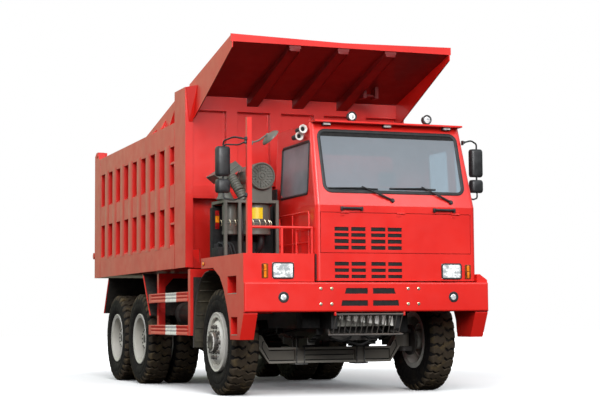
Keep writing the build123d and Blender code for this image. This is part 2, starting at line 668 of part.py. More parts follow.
# Bumper: a full-width face with air slots and fog lamp seats, and a box behind it between the legs
with BuildPart() as bumper:
    block((-HALF_WIDTH, HALF_WIDTH), span((BUMPER_FACE, BUMPER_FACE + BUMPER_FACE_T)), BUMPER_Z)
    rim = bumper.faces().sort_by(Axis.Y)[0].edges()
    fillet(rim, BUMPER_RADIUS)
    back = (BUMPER_FACE + BUMPER_FACE_T, BUMPER_BACK_Y)
    block((-BUMPER_BACK_X, BUMPER_BACK_X), span(back), (BUMPER_Z[0] + 20, BUMPER_Z[1] - 25))
    for side in (-1, 1):
        slots = ((SLOT_X, SLOT_UPPER_Z, -20.0), (SLOT_LOWER_X, SLOT_LOWER_Z, -12.0))
        for (inner, outer), (low, high), slant in slots:
            corners = [(inner, low), (outer - slant / 2, low), (outer + slant / 2, high), (inner, high)]
            prism_y(
                [(side * x, z) for x, z in corners],
                span((BUMPER_FACE - 1, BUMPER_FACE + SLOT_DEPTH)),
                Mode.SUBTRACT,
            )
        rod_y(FOG_R, span((BUMPER_FACE - 1, BUMPER_FACE + FOG_DEPTH)), side * FOG_X, FOG_Z, Mode.SUBTRACT)
        for bolt_x in BOLT_X:
            for bolt_z in BOLT_Z:
                rod_y(BOLT_R, span((BUMPER_FACE - BOLT_STAND, BUMPER_FACE + 1)), side * bolt_x, bolt_z)
bumper.part.label = "bumper"
export_step(bumper.part, "parts/bumper.step")

# Tubular sump guard under the bumper
with BuildPart() as sump_guard:
    top_y, top_z = at(GUARD_TOP[0]), GUARD_TOP[1]
    low_y, low_z = at(GUARD_LOW[0]), GUARD_LOW[1]
    tab_middle = (GUARD_TAB_X[0] + GUARD_TAB_X[1]) / 2
    rod_x(GUARD_TUBE_R, (-tab_middle, tab_middle), top_y, top_z)
    rod_x(GUARD_TUBE_R, (-GUARD_HALF, GUARD_HALF), low_y, low_z)
    for index in range(GUARD_BARS):
        x = (2 * index / (GUARD_BARS - 1) - 1) * (tab_middle - 3 * GUARD_BAR_R)
        bar((x, top_y, top_z), (x, low_y, low_z), GUARD_BAR_R)
    foot_y = sum(GUARD_FOOT_Y) / 2
    foot_z = (RAIL_Z[0] - GUARD_FOOT_H, RAIL_Z[0] - FIT_GAP)
    for side in (-1, 1):
        arm_x = side * (GUARD_HALF - GUARD_TUBE_R)
        bar((arm_x, low_y, low_z), (side * RAIL_X, at(foot_y), sum(foot_z) / 2), GUARD_TUBE_R)
        foot = (side * RAIL_X - GUARD_FOOT_HALF, side * RAIL_X + GUARD_FOOT_HALF)
        block(foot, span(GUARD_FOOT_Y), foot_z)
        tab_y = span((GUARD_TOP[0] - GUARD_TUBE_R, GUARD_TOP[0] + GUARD_TUBE_R))
        block(sided(side, GUARD_TAB_X), tab_y, (top_z, BUMPER_Z[0] - FIT_GAP))
sump_guard.part.label = "sump_guard"
export_step(sump_guard.part, "parts/sump_guard.step")


def cut_steps(side):
    """Cuts the two step pockets into a fender's leg, and the leg's inner part under the bumper."""
    for (y, z), depth in ((STEP_UPPER, STEP_UPPER_DEPTH), (STEP_LOWER, STEP_LOWER_DEPTH)):
        block(sided(side, (HALF_WIDTH - depth, HALF_WIDTH + 1)), span(y), z, Mode.SUBTRACT)
    under = sided(side, (LEG_INNER_X - 1, LEG_OUTER_X))
    block(under, span((FENDER_FRONT - 1, STEP_UPPER[0][1])), (LEG_LOW_Z - 1, BUMPER_Z[0]), Mode.SUBTRACT)


def fender_brackets(side, top_z):
    """Adds the two brackets that carry a fender on its frame rail."""
    reach = sorted((side * (RAIL_OUTER + FIT_GAP), side * (BRACKET_X + BRACKET_T)))
    upright = sorted((side * BRACKET_X, side * (BRACKET_X + BRACKET_T)))
    for y in BRACKET_PLACES:
        block(reach, span((y, y + BRACKET_T)), BRACKET_Z)
        block(upright, span((y, y + BRACKET_T)), (BRACKET_Z[0], top_z))


def build_right_fender():
    """Right fender: deck slab, front panel and a step leg in front of the wheel arch."""
    with BuildPart() as fender:
        leg = [
            (at(FENDER_FRONT), FENDER_TOP_Z),
            (at(FENDER_REAR), FENDER_TOP_Z),
            (at(FENDER_REAR), FENDER_UNDER_Z),
            *[(at(y), z) for y, z in ARCH],
            (at(LEG_TOE[0]), LEG_TOE[1]),
            (at(LEG_CHIN[0]), LEG_CHIN[1]),
        ]
        inner = (-LEG_INNER_X - 1, -FENDER_INNER_X)
        prism_x(leg, (-HALF_WIDTH, -LEG_INNER_X))
        block(inner, span((FENDER_FRONT, FENDER_REAR)), (FENDER_UNDER_Z, FENDER_TOP_Z))
        block(
            inner,
            span((FENDER_FRONT, FENDER_FRONT + FENDER_PANEL_T)),
            (BUMPER_Z[1] + 6, FENDER_UNDER_Z + 1),
        )
        cut_steps(-1)
        for lamp_x, lamp_z in ((HEADLAMP_X, HEADLAMP_Z), (INDICATOR_X, INDICATOR_Z)):
            pocket = span((FENDER_FRONT - 1, FENDER_FRONT + LAMP_DEPTH))
            block(mirrored(lamp_x), pocket, lamp_z, Mode.SUBTRACT)
        fender_brackets(-1, FENDER_UNDER_Z + 1)
    return fender


def build_left_fender():
    """Left fender: a low sill under the cab's side, with the same step leg."""
    sill_low = CAB_SECTIONS[0][0] + 7
    cab_side = CAB_X + CAB_SECTIONS[0][1] + LEDGE_GAP
    under = [(at(y), z) for y, z in ARCH if z < sill_low - 40]
    arch_start = ARCH[len(ARCH) - len(under) - 1]
    with BuildPart() as fender:
        apron_low = CAB_SECTIONS[0][0] - 12
        prism_x(
            [
                (at(FENDER_FRONT), apron_low),
                (at(arch_start[0]) - 10, apron_low),
                *under,
                (at(LEG_TOE[0]), LEG_TOE[1]),
                (at(LEG_CHIN[0]), LEG_CHIN[1]),
            ],
            (LEG_INNER_X, HALF_WIDTH),
        )
        prism_y(
            [
                (cab_side, apron_low - 1),
                (HALF_WIDTH, apron_low - 1),
                (HALF_WIDTH, sill_low + 10),
                (cab_side + 40, LEDGE_TOP_Z),
                (cab_side, LEDGE_TOP_Z),
            ],
            span((FENDER_FRONT, FENDER_REAR)),
        )
        block((LEG_INNER_X, cab_side + 1), span((CAB_APRON_Y + 8, FENDER_REAR)), (sill_low, LEDGE_TOP_Z))
        block(
            (LEG_INNER_X, HALF_WIDTH),
            span((CAB_APRON_Y + 8, arch_start[0] - 10)),
            (apron_low - 1, LEDGE_TOP_Z - 20),
        )
        cut_steps(1)
        ledge_y = span((BRACKET_PLACES[1], BRACKET_PLACES[1] + BRACKET_LEDGE))
        block((BRACKET_X, LEG_INNER_X + 1), ledge_y, (sill_low, LEDGE_TOP_Z))
        block(
            (BRACKET_X, LEG_INNER_X + 1),
            span((BRACKET_PLACES[0], BRACKET_PLACES[0] + BRACKET_T)),
            BRACKET_Z,
        )
        fender_brackets(1, BRACKET_Z[1] + 1)
        upright = (BRACKET_X, BRACKET_X + BRACKET_T)
        rear = span((BRACKET_PLACES[1], BRACKET_PLACES[1] + BRACKET_T))
        block(upright, rear, (BRACKET_Z[0], sill_low + 1))
    return fender


right_fender = build_right_fender()
right_fender.part.label = "fender_right"
export_step(right_fender.part, "parts/fender_right.step")
left_fender = build_left_fender()
left_fender.part.label = "fender_left"
export_step(left_fender.part, "parts/fender_left.step")

# Post and railing on the right deck
with BuildPart() as deck_railing:
    block(POST_X, span(POST_Y), (FENDER_TOP_Z, POST_TOP_Z))
    rail_y = at((POST_Y[0] + POST_Y[1]) / 2)
    rod_x(RAILING_TUBE_R, (POST_X[1] - 1, RAILING_X[1]), rail_y, RAILING_Z)
    for x in (RAILING_X[1], (RAILING_X[0] + RAILING_X[1]) / 2):
        rod_z(RAILING_TUBE_R, (FENDER_TOP_Z, RAILING_Z), x, rail_y)
    with Locations((RAILING_X[1], rail_y, RAILING_Z)):
        Sphere(RAILING_TUBE_R)
    deck_rail_y = at(POST_Y[0] + RAILING_RUN)
    rod_y(RAILING_TUBE_R, (rail_y, deck_rail_y), RAILING_X[1], RAILING_Z)
    rod_z(RAILING_TUBE_R, (FENDER_TOP_Z, RAILING_Z), RAILING_X[1], deck_rail_y)
    with Locations((RAILING_X[1], deck_rail_y, RAILING_Z)):
        Sphere(RAILING_TUBE_R)
deck_railing.part.label = "deck_railing"
export_step(deck_railing.part, "parts/deck_railing.step")

# Air cleaner: a drum on a saddle, over a canister in its rack
with BuildPart() as air_cleaner:
    rod_y(CLEANER_R, span(CLEANER_Y), CLEANER_X, CLEANER_Z)
    saddle = (CLEANER_X - SADDLE_HALF, CLEANER_X + SADDLE_HALF)
    saddle_y = span((CLEANER_Y[0] + SADDLE_INSET, CLEANER_Y[1] - SADDLE_INSET))
    block(saddle, saddle_y, (RACK_Z, CLEANER_Z - SADDLE_RISE))
    block(RACK_X, span(RACK_Y), (RACK_Z - RACK_LEG, RACK_Z))
    for x in (RACK_X[0], RACK_MIDDLE_X, RACK_X[1] - RACK_LEG):
        for y in (RACK_Y[0], RACK_Y[1] - RACK_LEG):
            block((x, x + RACK_LEG), span((y, y + RACK_LEG)), (FENDER_TOP_Z, RACK_Z - RACK_LEG))
    for x, radius in CANISTERS:
        rod_z(radius, (CANISTER_LOW_Z, RACK_Z - RACK_LEG), x, at(CANISTER_Y))
air_cleaner.part.label = "air_cleaner"
export_step(air_cleaner.part, "parts/air_cleaner.step")

# Intake hood: a slanted box on its riser, beside the air cleaner
with BuildPart() as intake_hood:
    hood_points = [
        (HOOD_X[0] + 20, HOOD_Z[0] + 60),
        (HOOD_X[0] + 110, HOOD_Z[0] - 20),
        (HOOD_X[1], HOOD_Z[0] + 150),
        (HOOD_X[1] - 90, HOOD_Z[1]),
    ]
    prism_y(hood_points, span(HOOD_Y))
    riser_x = (HOOD_X[0] + HOOD_X[1]) / 2
    rod_z(HOOD_RISER_R, (RACK_Z + FIT_GAP, HOOD_Z[0] + 60), riser_x, at((HOOD_Y[0] + HOOD_Y[1]) / 2))
intake_hood.part.label = "intake_hood"
export_step(intake_hood.part, "parts/intake_hood.step")

# Cab shell: hollow, leaning screen, openings for the screen, door, windows and front hatch
ROOF_Z = CAB_SECTIONS[2][0]
KINK_Z = CAB_SECTIONS[1][0]
CAB_FRONT = CAB_SECTIONS[0][2]


def cab_section(z, inset):
    """Half width and front of the cab at a height, inside its skin by the inset."""
    low, high = CAB_SECTIONS[1], CAB_SECTIONS[2]
    share = max(0.0, (z - low[0]) / (high[0] - low[0]))
    return (
        low[1] + share * (high[1] - low[1]) - inset,
        low[2] + share * (high[2] - low[2]),
    )


SCREEN_LEAN = (CAB_SECTIONS[2][2] - CAB_SECTIONS[1][2]) / (ROOF_Z - KINK_Z)


def screen_slab(x, z, near, far, radius, mode=Mode.ADD):
    """Adds a rounded plate in the leaning screen's plane, from near to far behind its face."""
    lean = sqrt(1 + SCREEN_LEAN**2)
    middle_z = (z[0] + z[1]) / 2
    middle_y = at(CAB_FRONT + (middle_z - KINK_Z) * SCREEN_LEAN)
    plane = Plane(
        origin=((x[0] + x[1]) / 2, middle_y, middle_z),
        x_dir=(1, 0, 0),
        z_dir=(0, -1, SCREEN_LEAN),
    )
    with BuildSketch(plane.offset(-near)) as face:
        RectangleRounded(x[1] - x[0], (z[1] - z[0]) * lean, radius)
    extrude(face.sketch, amount=-(far - near), mode=mode)


def side_plate(x, y, z, radius, mode=Mode.ADD):
    """Adds a rounded plate across X, from its ranges behind the front axle and above ground."""
    plane = Plane(origin=(x[0], (y[0] + y[1]) / 2, (z[0] + z[1]) / 2), x_dir=(0, 1, 0), z_dir=(1, 0, 0))
    with BuildSketch(plane) as face:
        RectangleRounded(y[1] - y[0], z[1] - z[0], radius)
    extrude(face.sketch, amount=x[1] - x[0], mode=mode)


def front_plate(x, y, z, radius, mode=Mode.ADD):
    """Adds a rounded plate across Y, from its ranges."""
    with BuildSketch(Plane.XZ.offset(-y[1])) as face:
        with Locations(((x[0] + x[1]) / 2, (z[0] + z[1]) / 2)):
            RectangleRounded(x[1] - x[0], z[1] - z[0], radius)
    extrude(face.sketch, amount=y[1] - y[0], mode=mode)


def cab_body(inset, low_z, high_z, rear, front_inset, corner, mode=Mode.ADD):
    """Adds the cab's lofted form between two heights, inside its skin by the insets."""
    heights = [low_z, KINK_Z, high_z]
    sections = []
    for z in heights:
        half, front = cab_section(z, inset)
        depth = rear - (front + front_inset)
        with BuildSketch(Plane.XY.offset(z)) as section:
            with Locations((CAB_X, at(front + front_inset) + depth / 2)):
                RectangleRounded(2 * half, depth, corner)
        sections.append(section.sketch)
    loft(sections, ruled=True, mode=mode)


HATCH_AXIS = (CAB_FRONT - HINGE_STAND, HATCH_Z[1] - HATCH_GAP / 2)  # y, z
DOOR_AXIS = (CAB_X + CAB_SECTIONS[0][1] + HINGE_STAND, DOOR_Y[0] + DOOR_GAP / 2)  # x, y


def hatch_hinges(offset, up, bore):
    """Hinge barrels and leaves of the front hatch: the shell's go up, the hatch's go down."""
    y, z = at(HATCH_AXIS[0]), HATCH_AXIS[1]
    for middle in HATCH_HINGES:
        x = (middle + offset, middle + offset + HINGE_W)
        rod_x(HINGE_R, x, y, z)
        leaf = sorted((z, z + up * HINGE_LEAF))
        block(x, (y + HINGE_STAND - HINGE_LEAF_T, y + HINGE_STAND + 1), leaf)
        if bore:
            rod_x(HINGE_PIN_R + PIN_GAP, (x[0] - 1, x[1] + 1), y, z, Mode.SUBTRACT)
        else:
            rod_x(HINGE_PIN_R, (x[0], x[1] + HINGE_W), y, z)


def door_hinges(offset, toward, bore):
    """Hinge barrels and leaves of the door: the shell's go forward, the door's go rearward."""
    x, y = DOOR_AXIS[0], at(DOOR_AXIS[1])
    for middle in DOOR_HINGES:
        z = (middle + offset, middle + offset + HINGE_W)
        rod_z(HINGE_R, z, x, y)
        leaf = sorted((y, y + toward * HINGE_LEAF))
        block((x - HINGE_STAND - 1, x - HINGE_STAND + HINGE_LEAF_T), leaf, z)
        if bore:
            rod_z(HINGE_PIN_R + PIN_GAP, (z[0] - 1, z[1] + 1), x, y, Mode.SUBTRACT)
        else:
            rod_z(HINGE_PIN_R, (z[0], z[1] + HINGE_W), x, y)


with BuildPart() as cab_shell:
    cab_body(0, CAB_SECTIONS[0][0], ROOF_Z, CAB_REAR, 0, CAB_CORNER)
    block(
        (CAB_X - HALF_WIDTH, CAB_X + HALF_WIDTH),
        span((CAB_APRON_Y, CAB_REAR + CUT_REACH)),
        (CAB_SECTIONS[0][0] - CUT_REACH, CAB_FLOOR_Z),
        Mode.SUBTRACT,
    )
    # Room for the driver behind the firewall
    low_half = CAB_SECTIONS[0][1] - CAB_WALL
    block(
        (CAB_X - low_half, CAB_X + low_half),
        span((CAB_FRONT + FIREWALL_T, CAB_REAR - CAB_WALL)),
        (CAB_FLOOR_Z + CAB_WALL, KINK_Z),
        Mode.SUBTRACT,
    )
    upper = []
    for z in (KINK_Z, ROOF_Z - CAB_ROOF_T):
        half, front = cab_section(z, CAB_WALL)
        inner_front = front + CAB_WALL
        depth = CAB_REAR - CAB_WALL - inner_front
        with BuildSketch(Plane.XY.offset(z)) as section:
            with Locations((CAB_X, at(inner_front) + depth / 2)):
                Rectangle(2 * half, depth)
        upper.append(section.sketch)
    loft(upper, ruled=True, mode=Mode.SUBTRACT)
    screen_slab(SCREEN_X, SCREEN_Z, -CUT_REACH, CAB_WALL + CUT_REACH, SCREEN_RADIUS, Mode.SUBTRACT)
    cab_left = CAB_X + CAB_SECTIONS[0][1]
    cab_right = CAB_X - CAB_SECTIONS[0][1]
    left_cut = (cab_left - 3 * CUT_REACH, cab_left + CUT_REACH)
    right_cut = (cab_right - CUT_REACH, cab_right + 3 * CUT_REACH)
    rear_cut = span((CAB_REAR - CAB_WALL - CUT_REACH, CAB_REAR + CUT_REACH))
    side_plate(left_cut, span(DOOR_Y), DOOR_Z, DOOR_RADIUS, Mode.SUBTRACT)
    side_plate(right_cut, span(SIDE_WINDOW_Y), SIDE_WINDOW_Z, DOOR_RADIUS, Mode.SUBTRACT)
    side_plate(left_cut, span(QUARTER_WINDOW_Y), SIDE_WINDOW_Z, QUARTER_RADIUS, Mode.SUBTRACT)
    front_plate(REAR_WINDOW_X, rear_cut, REAR_WINDOW_Z, DOOR_RADIUS, Mode.SUBTRACT)
    block(HATCH_X, span((CAB_FRONT - 1, CAB_FRONT + HATCH_DEPTH)), HATCH_Z, Mode.SUBTRACT)
    for low, high in GRILLE_COLUMNS:
        for row in GRILLE_LOWER:
            block((low, high), span((CAB_FRONT - 1, CAB_FRONT + SLOT_DEPTH)), row, Mode.SUBTRACT)
    for lamp_x, lamp_z in ((HEADLAMP_X, HEADLAMP_Z), (INDICATOR_X, INDICATOR_Z)):
        block(lamp_x, span((CAB_FRONT - 1, CAB_FRONT + LAMP_DEPTH)), lamp_z, Mode.SUBTRACT)
    # Mounting legs from the cab floor down to the rails
    for x in (-RAIL_X, RAIL_X):
        for y in (CAB_APRON_Y + CAB_LEG_INSET, CAB_REAR - CAB_LEG_INSET):
            rod_z(CAB_LEG_R, (RAIL_Z[1] + FIT_GAP, CAB_FLOOR_Z + 1), x, at(y))
    hatch_hinges(HINGE_W + PIN_GAP, 1, True)
    door_hinges(HINGE_W + PIN_GAP, -1, True)
cab_shell.part.label = "cab_shell"
export_step(cab_shell.part, "parts/cab_shell.step")

# Windscreen in its opening
with BuildPart() as windscreen:
    glass_x = (SCREEN_X[0] + FIT_GAP, SCREEN_X[1] - FIT_GAP)
    glass_z = (SCREEN_Z[0] + FIT_GAP, SCREEN_Z[1] - FIT_GAP)
    screen_slab(glass_x, glass_z, GLASS_INSET, GLASS_INSET + GLASS_T, SCREEN_RADIUS - FIT_GAP)
windscreen.part.label = "windscreen"
export_step(windscreen.part, "parts/windscreen.step")

def wall_plate(side, y, z, near, far, radius):
    """Part of the cab's leaning side wall, from near to far behind its face, with rounded corners."""
    heights = [z[0]] + ([KINK_Z] if z[0] < KINK_Z < z[1] else []) + [z[1]]
    outer = [(CAB_X + side * cab_section(height, near)[0], height) for height in heights]
    inner = [(CAB_X + side * cab_section(height, far)[0], height) for height in reversed(heights)]
    with BuildPart() as plate:
        prism_y(outer + inner, y)
        reach = sorted((CAB_X + side * 800, CAB_X + side * 1300))
        side_plate(reach, y, z, radius, Mode.INTERSECT)
    return plate


# Fixed glass of the cab's sides and rear
side_glass = []
for side, y, radius in ((-1, SIDE_WINDOW_Y, DOOR_RADIUS), (1, QUARTER_WINDOW_Y, QUARTER_RADIUS)):
    glass_y = (at(y[0]) + FIT_GAP, at(y[1]) - FIT_GAP)
    glass_z = (SIDE_WINDOW_Z[0] + FIT_GAP, SIDE_WINDOW_Z[1] - FIT_GAP)
    pane = wall_plate(side, glass_y, glass_z, GLASS_INSET, GLASS_INSET + GLASS_T, radius - FIT_GAP)
    side_glass.append(pane.part)
with BuildPart() as cab_glass:
    for pane in side_glass:
        add(pane)
    rear_glass = CAB_REAR - 20
    front_plate(
        (REAR_WINDOW_X[0] + FIT_GAP, REAR_WINDOW_X[1] - FIT_GAP),
        span((rear_glass - GLASS_T, rear_glass)),
        (REAR_WINDOW_Z[0] + FIT_GAP, REAR_WINDOW_Z[1] - FIT_GAP),
        DOOR_RADIUS - FIT_GAP,
    )
cab_glass.part.label = "cab_glass"
export_step(cab_glass.part, "parts/cab_glass.step")

# Driver's seat on its box
with BuildPart() as cab_seat:
    block((SEAT_X - SEAT_HALF, SEAT_X + SEAT_HALF), span(SEAT_Y), SEAT_Z)
    block(
        (SEAT_X - SEAT_BOX_HALF, SEAT_X + SEAT_BOX_HALF),
        span((SEAT_Y[0] + SEAT_BOX_INSET, SEAT_Y[1] - SEAT_BOX_INSET)),
        (CAB_DECK + FIT_GAP, SEAT_Z[0]),
    )
    back_low, back_high = SEAT_BACK_Y
    head_y = back_high + HEADREST_LEAN
    head_z = SEAT_BACK_Z[1] + HEADREST_H
    prism_x(
        [
            (at(back_low), SEAT_BACK_Z[0]),
            (at(back_low + SEAT_BACK_T[0]), SEAT_BACK_Z[0]),
            (at(back_high + SEAT_BACK_T[1]), SEAT_BACK_Z[1]),
            (at(back_high), SEAT_BACK_Z[1]),
        ],
        (SEAT_X - SEAT_BACK_HALF, SEAT_X + SEAT_BACK_HALF),
    )
    prism_x(
        [
            (at(back_high), SEAT_BACK_Z[1]),
            (at(back_high + SEAT_BACK_T[1]), SEAT_BACK_Z[1]),
            (at(head_y + SEAT_BACK_T[1]), head_z),
            (at(head_y), head_z),
        ],
        (SEAT_X - HEADREST_HALF, SEAT_X + HEADREST_HALF),
    )
cab_seat.part.label = "cab_seat"
export_step(cab_seat.part, "parts/cab_seat.step")

# Dashboard on the firewall, with the steering column and its wheel
DASH_FRONT = CAB_FRONT + FIREWALL_T
with BuildPart() as dashboard:
    dash_front = at(DASH_FRONT) + FIT_GAP
    dash_half = CAB_SECTIONS[0][1] - CAB_WALL - DASH_INSET
    prism_x(
        [
            (dash_front, DASH_LOW_Z + 40),
            (dash_front, KINK_Z - FIT_GAP),
            (at(DASH_FRONT + 150), KINK_Z + DASH_RISE),
            (at(DASH_FRONT + DASH_DEPTH - 70), KINK_Z + 20),
            (at(DASH_FRONT + DASH_DEPTH), KINK_Z - 2 * DASH_RISE),
            (at(DASH_FRONT + DASH_DEPTH - 140), DASH_LOW_Z),
        ],
        (CAB_X - dash_half, CAB_X + dash_half),
    )
    wheel_centre = (SEAT_X, at(STEER_PLACE[0]), STEER_PLACE[1])
    column_foot = (SEAT_X, at(DASH_FRONT + DASH_DEPTH / 2), DASH_LOW_Z + 80)
    bar(column_foot, wheel_centre, COLUMN_R)
    column = Vector(*wheel_centre) - Vector(*column_foot)
    wheel_plane = Plane(origin=wheel_centre, x_dir=(1, 0, 0), z_dir=column)
    with Locations(wheel_plane):
        Torus(STEER_WHEEL_R, STEER_RIM_R)
        Box(2 * STEER_WHEEL_R, *STEER_SPOKE)
dashboard.part.label = "dashboard"
export_step(dashboard.part, "parts/dashboard.step")

# Visor over the screen with its marker lamps and two work lamps
with BuildPart() as sun_visor:
    visor_low = ROOF_Z + FIT_GAP
    block((CAB_X - VISOR_HALF, CAB_X + VISOR_HALF), span(VISOR_Y), (visor_low, visor_low + VISOR_T))
    lamp_z = visor_low + VISOR_T + WORK_LAMP_RISE
    stalk_y = sum(WORK_LAMP_Y) / 2 + 5
    for x in WORK_LAMP_X:
        stalk_x = (x - WORK_STALK_HALF[0], x + WORK_STALK_HALF[0])
        stalk_span = span((stalk_y - WORK_STALK_HALF[1], stalk_y + WORK_STALK_HALF[1]))
        block(stalk_x, stalk_span, (visor_low + VISOR_T - 1, lamp_z))
        rod_y(WORK_LAMP_R, span(WORK_LAMP_Y), x, lamp_z)
sun_visor.part.label = "sun_visor"
export_step(sun_visor.part, "parts/sun_visor.step")

# Headlamps and indicators of both sides, seated in the fender and in the cab's apron
with BuildPart() as headlamps:
    for side, face in ((-1, FENDER_FRONT), (1, CAB_FRONT)):
        for lamp_x, lamp_z in ((HEADLAMP_X, HEADLAMP_Z), (INDICATOR_X, INDICATOR_Z)):
            low, high = lamp_x[0] + FIT_GAP, lamp_x[1] - FIT_GAP
            x = (low, high) if side > 0 else (-high, -low)
            depth = span((face - LAMP_PROUD, face + LAMP_DEPTH - FIT_GAP))
            block(x, depth, (lamp_z[0] + FIT_GAP, lamp_z[1] - FIT_GAP))
headlamps.part.label = "headlamps"
export_step(headlamps.part, "parts/headlamps.step")

# Fog lamps in the bumper
with BuildPart() as fog_lamps:
    for side in (-1, 1):
        fog_y = span((BUMPER_FACE + FOG_INSET, BUMPER_FACE + FOG_DEPTH - FIT_GAP))
        rod_y(FOG_R - FIT_GAP, fog_y, side * FOG_X, FOG_Z)
fog_lamps.part.label = "fog_lamps"
export_step(fog_lamps.part, "parts/fog_lamps.step")


def build_mirrors(side, place, anchors):
    """Mirror pair of one side with the arms that hold it, from the (y, low z) of its place.

    Each anchor is the (x, y) of an arm's foot, for the lower and for the upper arm.
    """
    y, low_z = at(place[0]), place[1]
    x = sorted((side * (MIRROR_OUT_X - MIRROR_W), side * MIRROR_OUT_X))
    depth = (y - MIRROR_T / 2, y + MIRROR_T / 2)
    middle_x = (x[0] + x[1]) / 2
    main_z = low_z + MIRROR_LOW_H + MIRROR_SPLIT
    top_z = main_z + MIRROR_MAIN_H
    arm_heights = (low_z - MIRROR_ARM_RISE, top_z + MIRROR_ARM_RISE)
    with BuildPart() as mirrors:
        rod_z(MIRROR_ARM_R, arm_heights, middle_x, y)
        for z, (anchor_x, anchor_y) in zip(arm_heights, anchors):
            bar((middle_x, y - 2, z), (anchor_x + side * MIRROR_FOOT_T, anchor_y, z), MIRROR_ARM_R)
            foot_x = sorted((anchor_x, anchor_x + side * MIRROR_FOOT_T))
            block(foot_x, (anchor_y - 20, anchor_y + 20), (z - 30, z + 30))
        block(x, depth, (low_z, low_z + MIRROR_LOW_H))
        block(x, depth, (main_z, top_z))
    return mirrors


post_middle_y = at((POST_Y[0] + POST_Y[1]) / 2)
post_side = (POST_X[0] - FIT_GAP, post_middle_y)
right_mirrors = build_mirrors(-1, RIGHT_MIRROR, (post_side, post_side))
right_mirrors.part.label = "mirrors_right"
export_step(right_mirrors.part, "parts/mirrors_right.step")
left_top = LEFT_MIRROR[1] + MIRROR_LOW_H + MIRROR_SPLIT + MIRROR_MAIN_H
left_anchors = [
    (CAB_X + cab_section(z - 30, 0)[0] + FIT_GAP, at(MIRROR_PILLAR_Y))
    for z in (LEFT_MIRROR[1] - MIRROR_ARM_RISE, left_top + MIRROR_ARM_RISE)
]
left_mirrors = build_mirrors(1, LEFT_MIRROR, left_anchors)
left_mirrors.part.label = "mirrors_left"
export_step(left_mirrors.part, "parts/mirrors_left.step")

# Side guards: two rails on posts, and arms that carry them on the frame
with BuildPart() as side_guards:
    for side in (-1, 1):
        for low, high in GUARD_RAILS_Z:
            block(
                sided(side, (GUARD_POST_X[1] - GUARD_RAIL_T, GUARD_POST_X[1])),
                span((GUARD_POST_Y[0], GUARD_RAIL_REAR)),
                (low, high),
            )
        posts = ((GUARD_POST_X, GUARD_POST_Y), (GUARD_REAR_X, GUARD_REAR_Y))
        for x, y in posts:
            block(sided(side, (x[0], GUARD_POST_X[1])), span(y), (GUARD_RAILS_Z[0][0], GUARD_RAILS_Z[0][1]))
            block(sided(side, (x[0], GUARD_POST_X[1])), span(y), (GUARD_RAILS_Z[1][0], GUARD_RAILS_Z[1][1]))
            block(sided(side, x), span(y), GUARD_POST_Z)
            arm_z = (GUARD_POST_Z[1] - GUARD_ARM_T, GUARD_POST_Z[1])
            block(sided(side, (GUARD_ARM_X, x[1])), span(y), arm_z)
            drop_x = (GUARD_ARM_X, GUARD_ARM_X + GUARD_DROP_T)
            block(sided(side, drop_x), span(y), (GUARD_FOOT_Z[0], arm_z[1]))
            block(sided(side, (RAIL_OUTER + FIT_GAP, drop_x[1])), span(y), GUARD_FOOT_Z)
side_guards.part.label = "side_guards"
export_step(side_guards.part, "parts/side_guards.step")

# Air tank on the right
with BuildPart() as air_tank:
    rod_y(AIR_TANK_R, span(AIR_TANK_Y), AIR_TANK_X, AIR_TANK_Z)
    fillet(air_tank.edges().filter_by(GeomType.CIRCLE), AIR_TANK_ROUND)
    for share in TANK_BRACKETS:
        y = AIR_TANK_Y[0] + share * (AIR_TANK_Y[1] - AIR_TANK_Y[0])
        block(
            (AIR_TANK_X, -RAIL_OUTER - FIT_GAP),
            span((y - 30, y + 30)),
            (AIR_TANK_Z - 40, AIR_TANK_Z + 40),
        )
air_tank.part.label = "air_tank"
export_step(air_tank.part, "parts/air_tank.step")

# Fuel tank on the left
with BuildPart() as fuel_tank:
    block(FUEL_TANK_X, span(FUEL_TANK_Y), FUEL_TANK_Z)
    fillet(fuel_tank.edges().filter_by(Axis.Y), FUEL_TANK_ROUND)
    for share in TANK_BRACKETS:
        y = FUEL_TANK_Y[0] + share * (FUEL_TANK_Y[1] - FUEL_TANK_Y[0])
        block(
            (RAIL_OUTER + FIT_GAP, FUEL_TANK_X[0] + 1),
            span((y - 35, y + 35)),
            (RAIL_Z[1] - 160, RAIL_Z[1] - 40),
        )
fuel_tank.part.label = "fuel_tank"
export_step(fuel_tank.part, "parts/fuel_tank.step")

# Mudguards: flaps before and behind the rear wheels, and plates behind the front wheels
with BuildPart() as mudguards:
    for side in (-1, 1):
        flap_x = sorted((side * FLAP_X[0], side * FLAP_X[1]))
        for (top_y, top_z), (end_y, end_z) in (FRONT_FLAP, REAR_FLAP):
            lean = 1 if end_y > top_y else -1
            prism_x(
                [
                    (at(top_y), top_z),
                    (at(end_y), end_z),
                    (at(end_y + lean * FLAP_T), end_z),
                    (at(top_y + lean * FLAP_T), top_z),
                ],
                flap_x,
            )
            tube_x = sorted((side * (FLAP_STAY_X + 5), side * FLAP_X[1]))
            rod_x(FLAP_TUBE_R, tube_x, at(top_y + lean * FLAP_T / 2), top_z - 8)
            stay_y = span((top_y - 40, top_y + 40))
            foot = sorted((side * (RAIL_OUTER + FIT_GAP), side * (FLAP_STAY_X + FLAP_STAY_T)))
            block(foot, stay_y, (RAIL_Z[0] + 150, RAIL_Z[1] - 10))
            stay = sorted((side * FLAP_STAY_X, side * (FLAP_STAY_X + FLAP_STAY_T)))
            block(stay, stay_y, (RAIL_Z[0] + 150, top_z + 5))
        plate_x = sorted((side * WHEEL_FLAP_X[0], side * WHEEL_FLAP_X[1]))
        block(plate_x, (at(WHEEL_FLAP_Y), at(GUARD_POST_Y[0]) - FIT_GAP), WHEEL_FLAP_Z)
mudguards.part.label = "mudguards"
export_step(mudguards.part, "parts/mudguards.step")


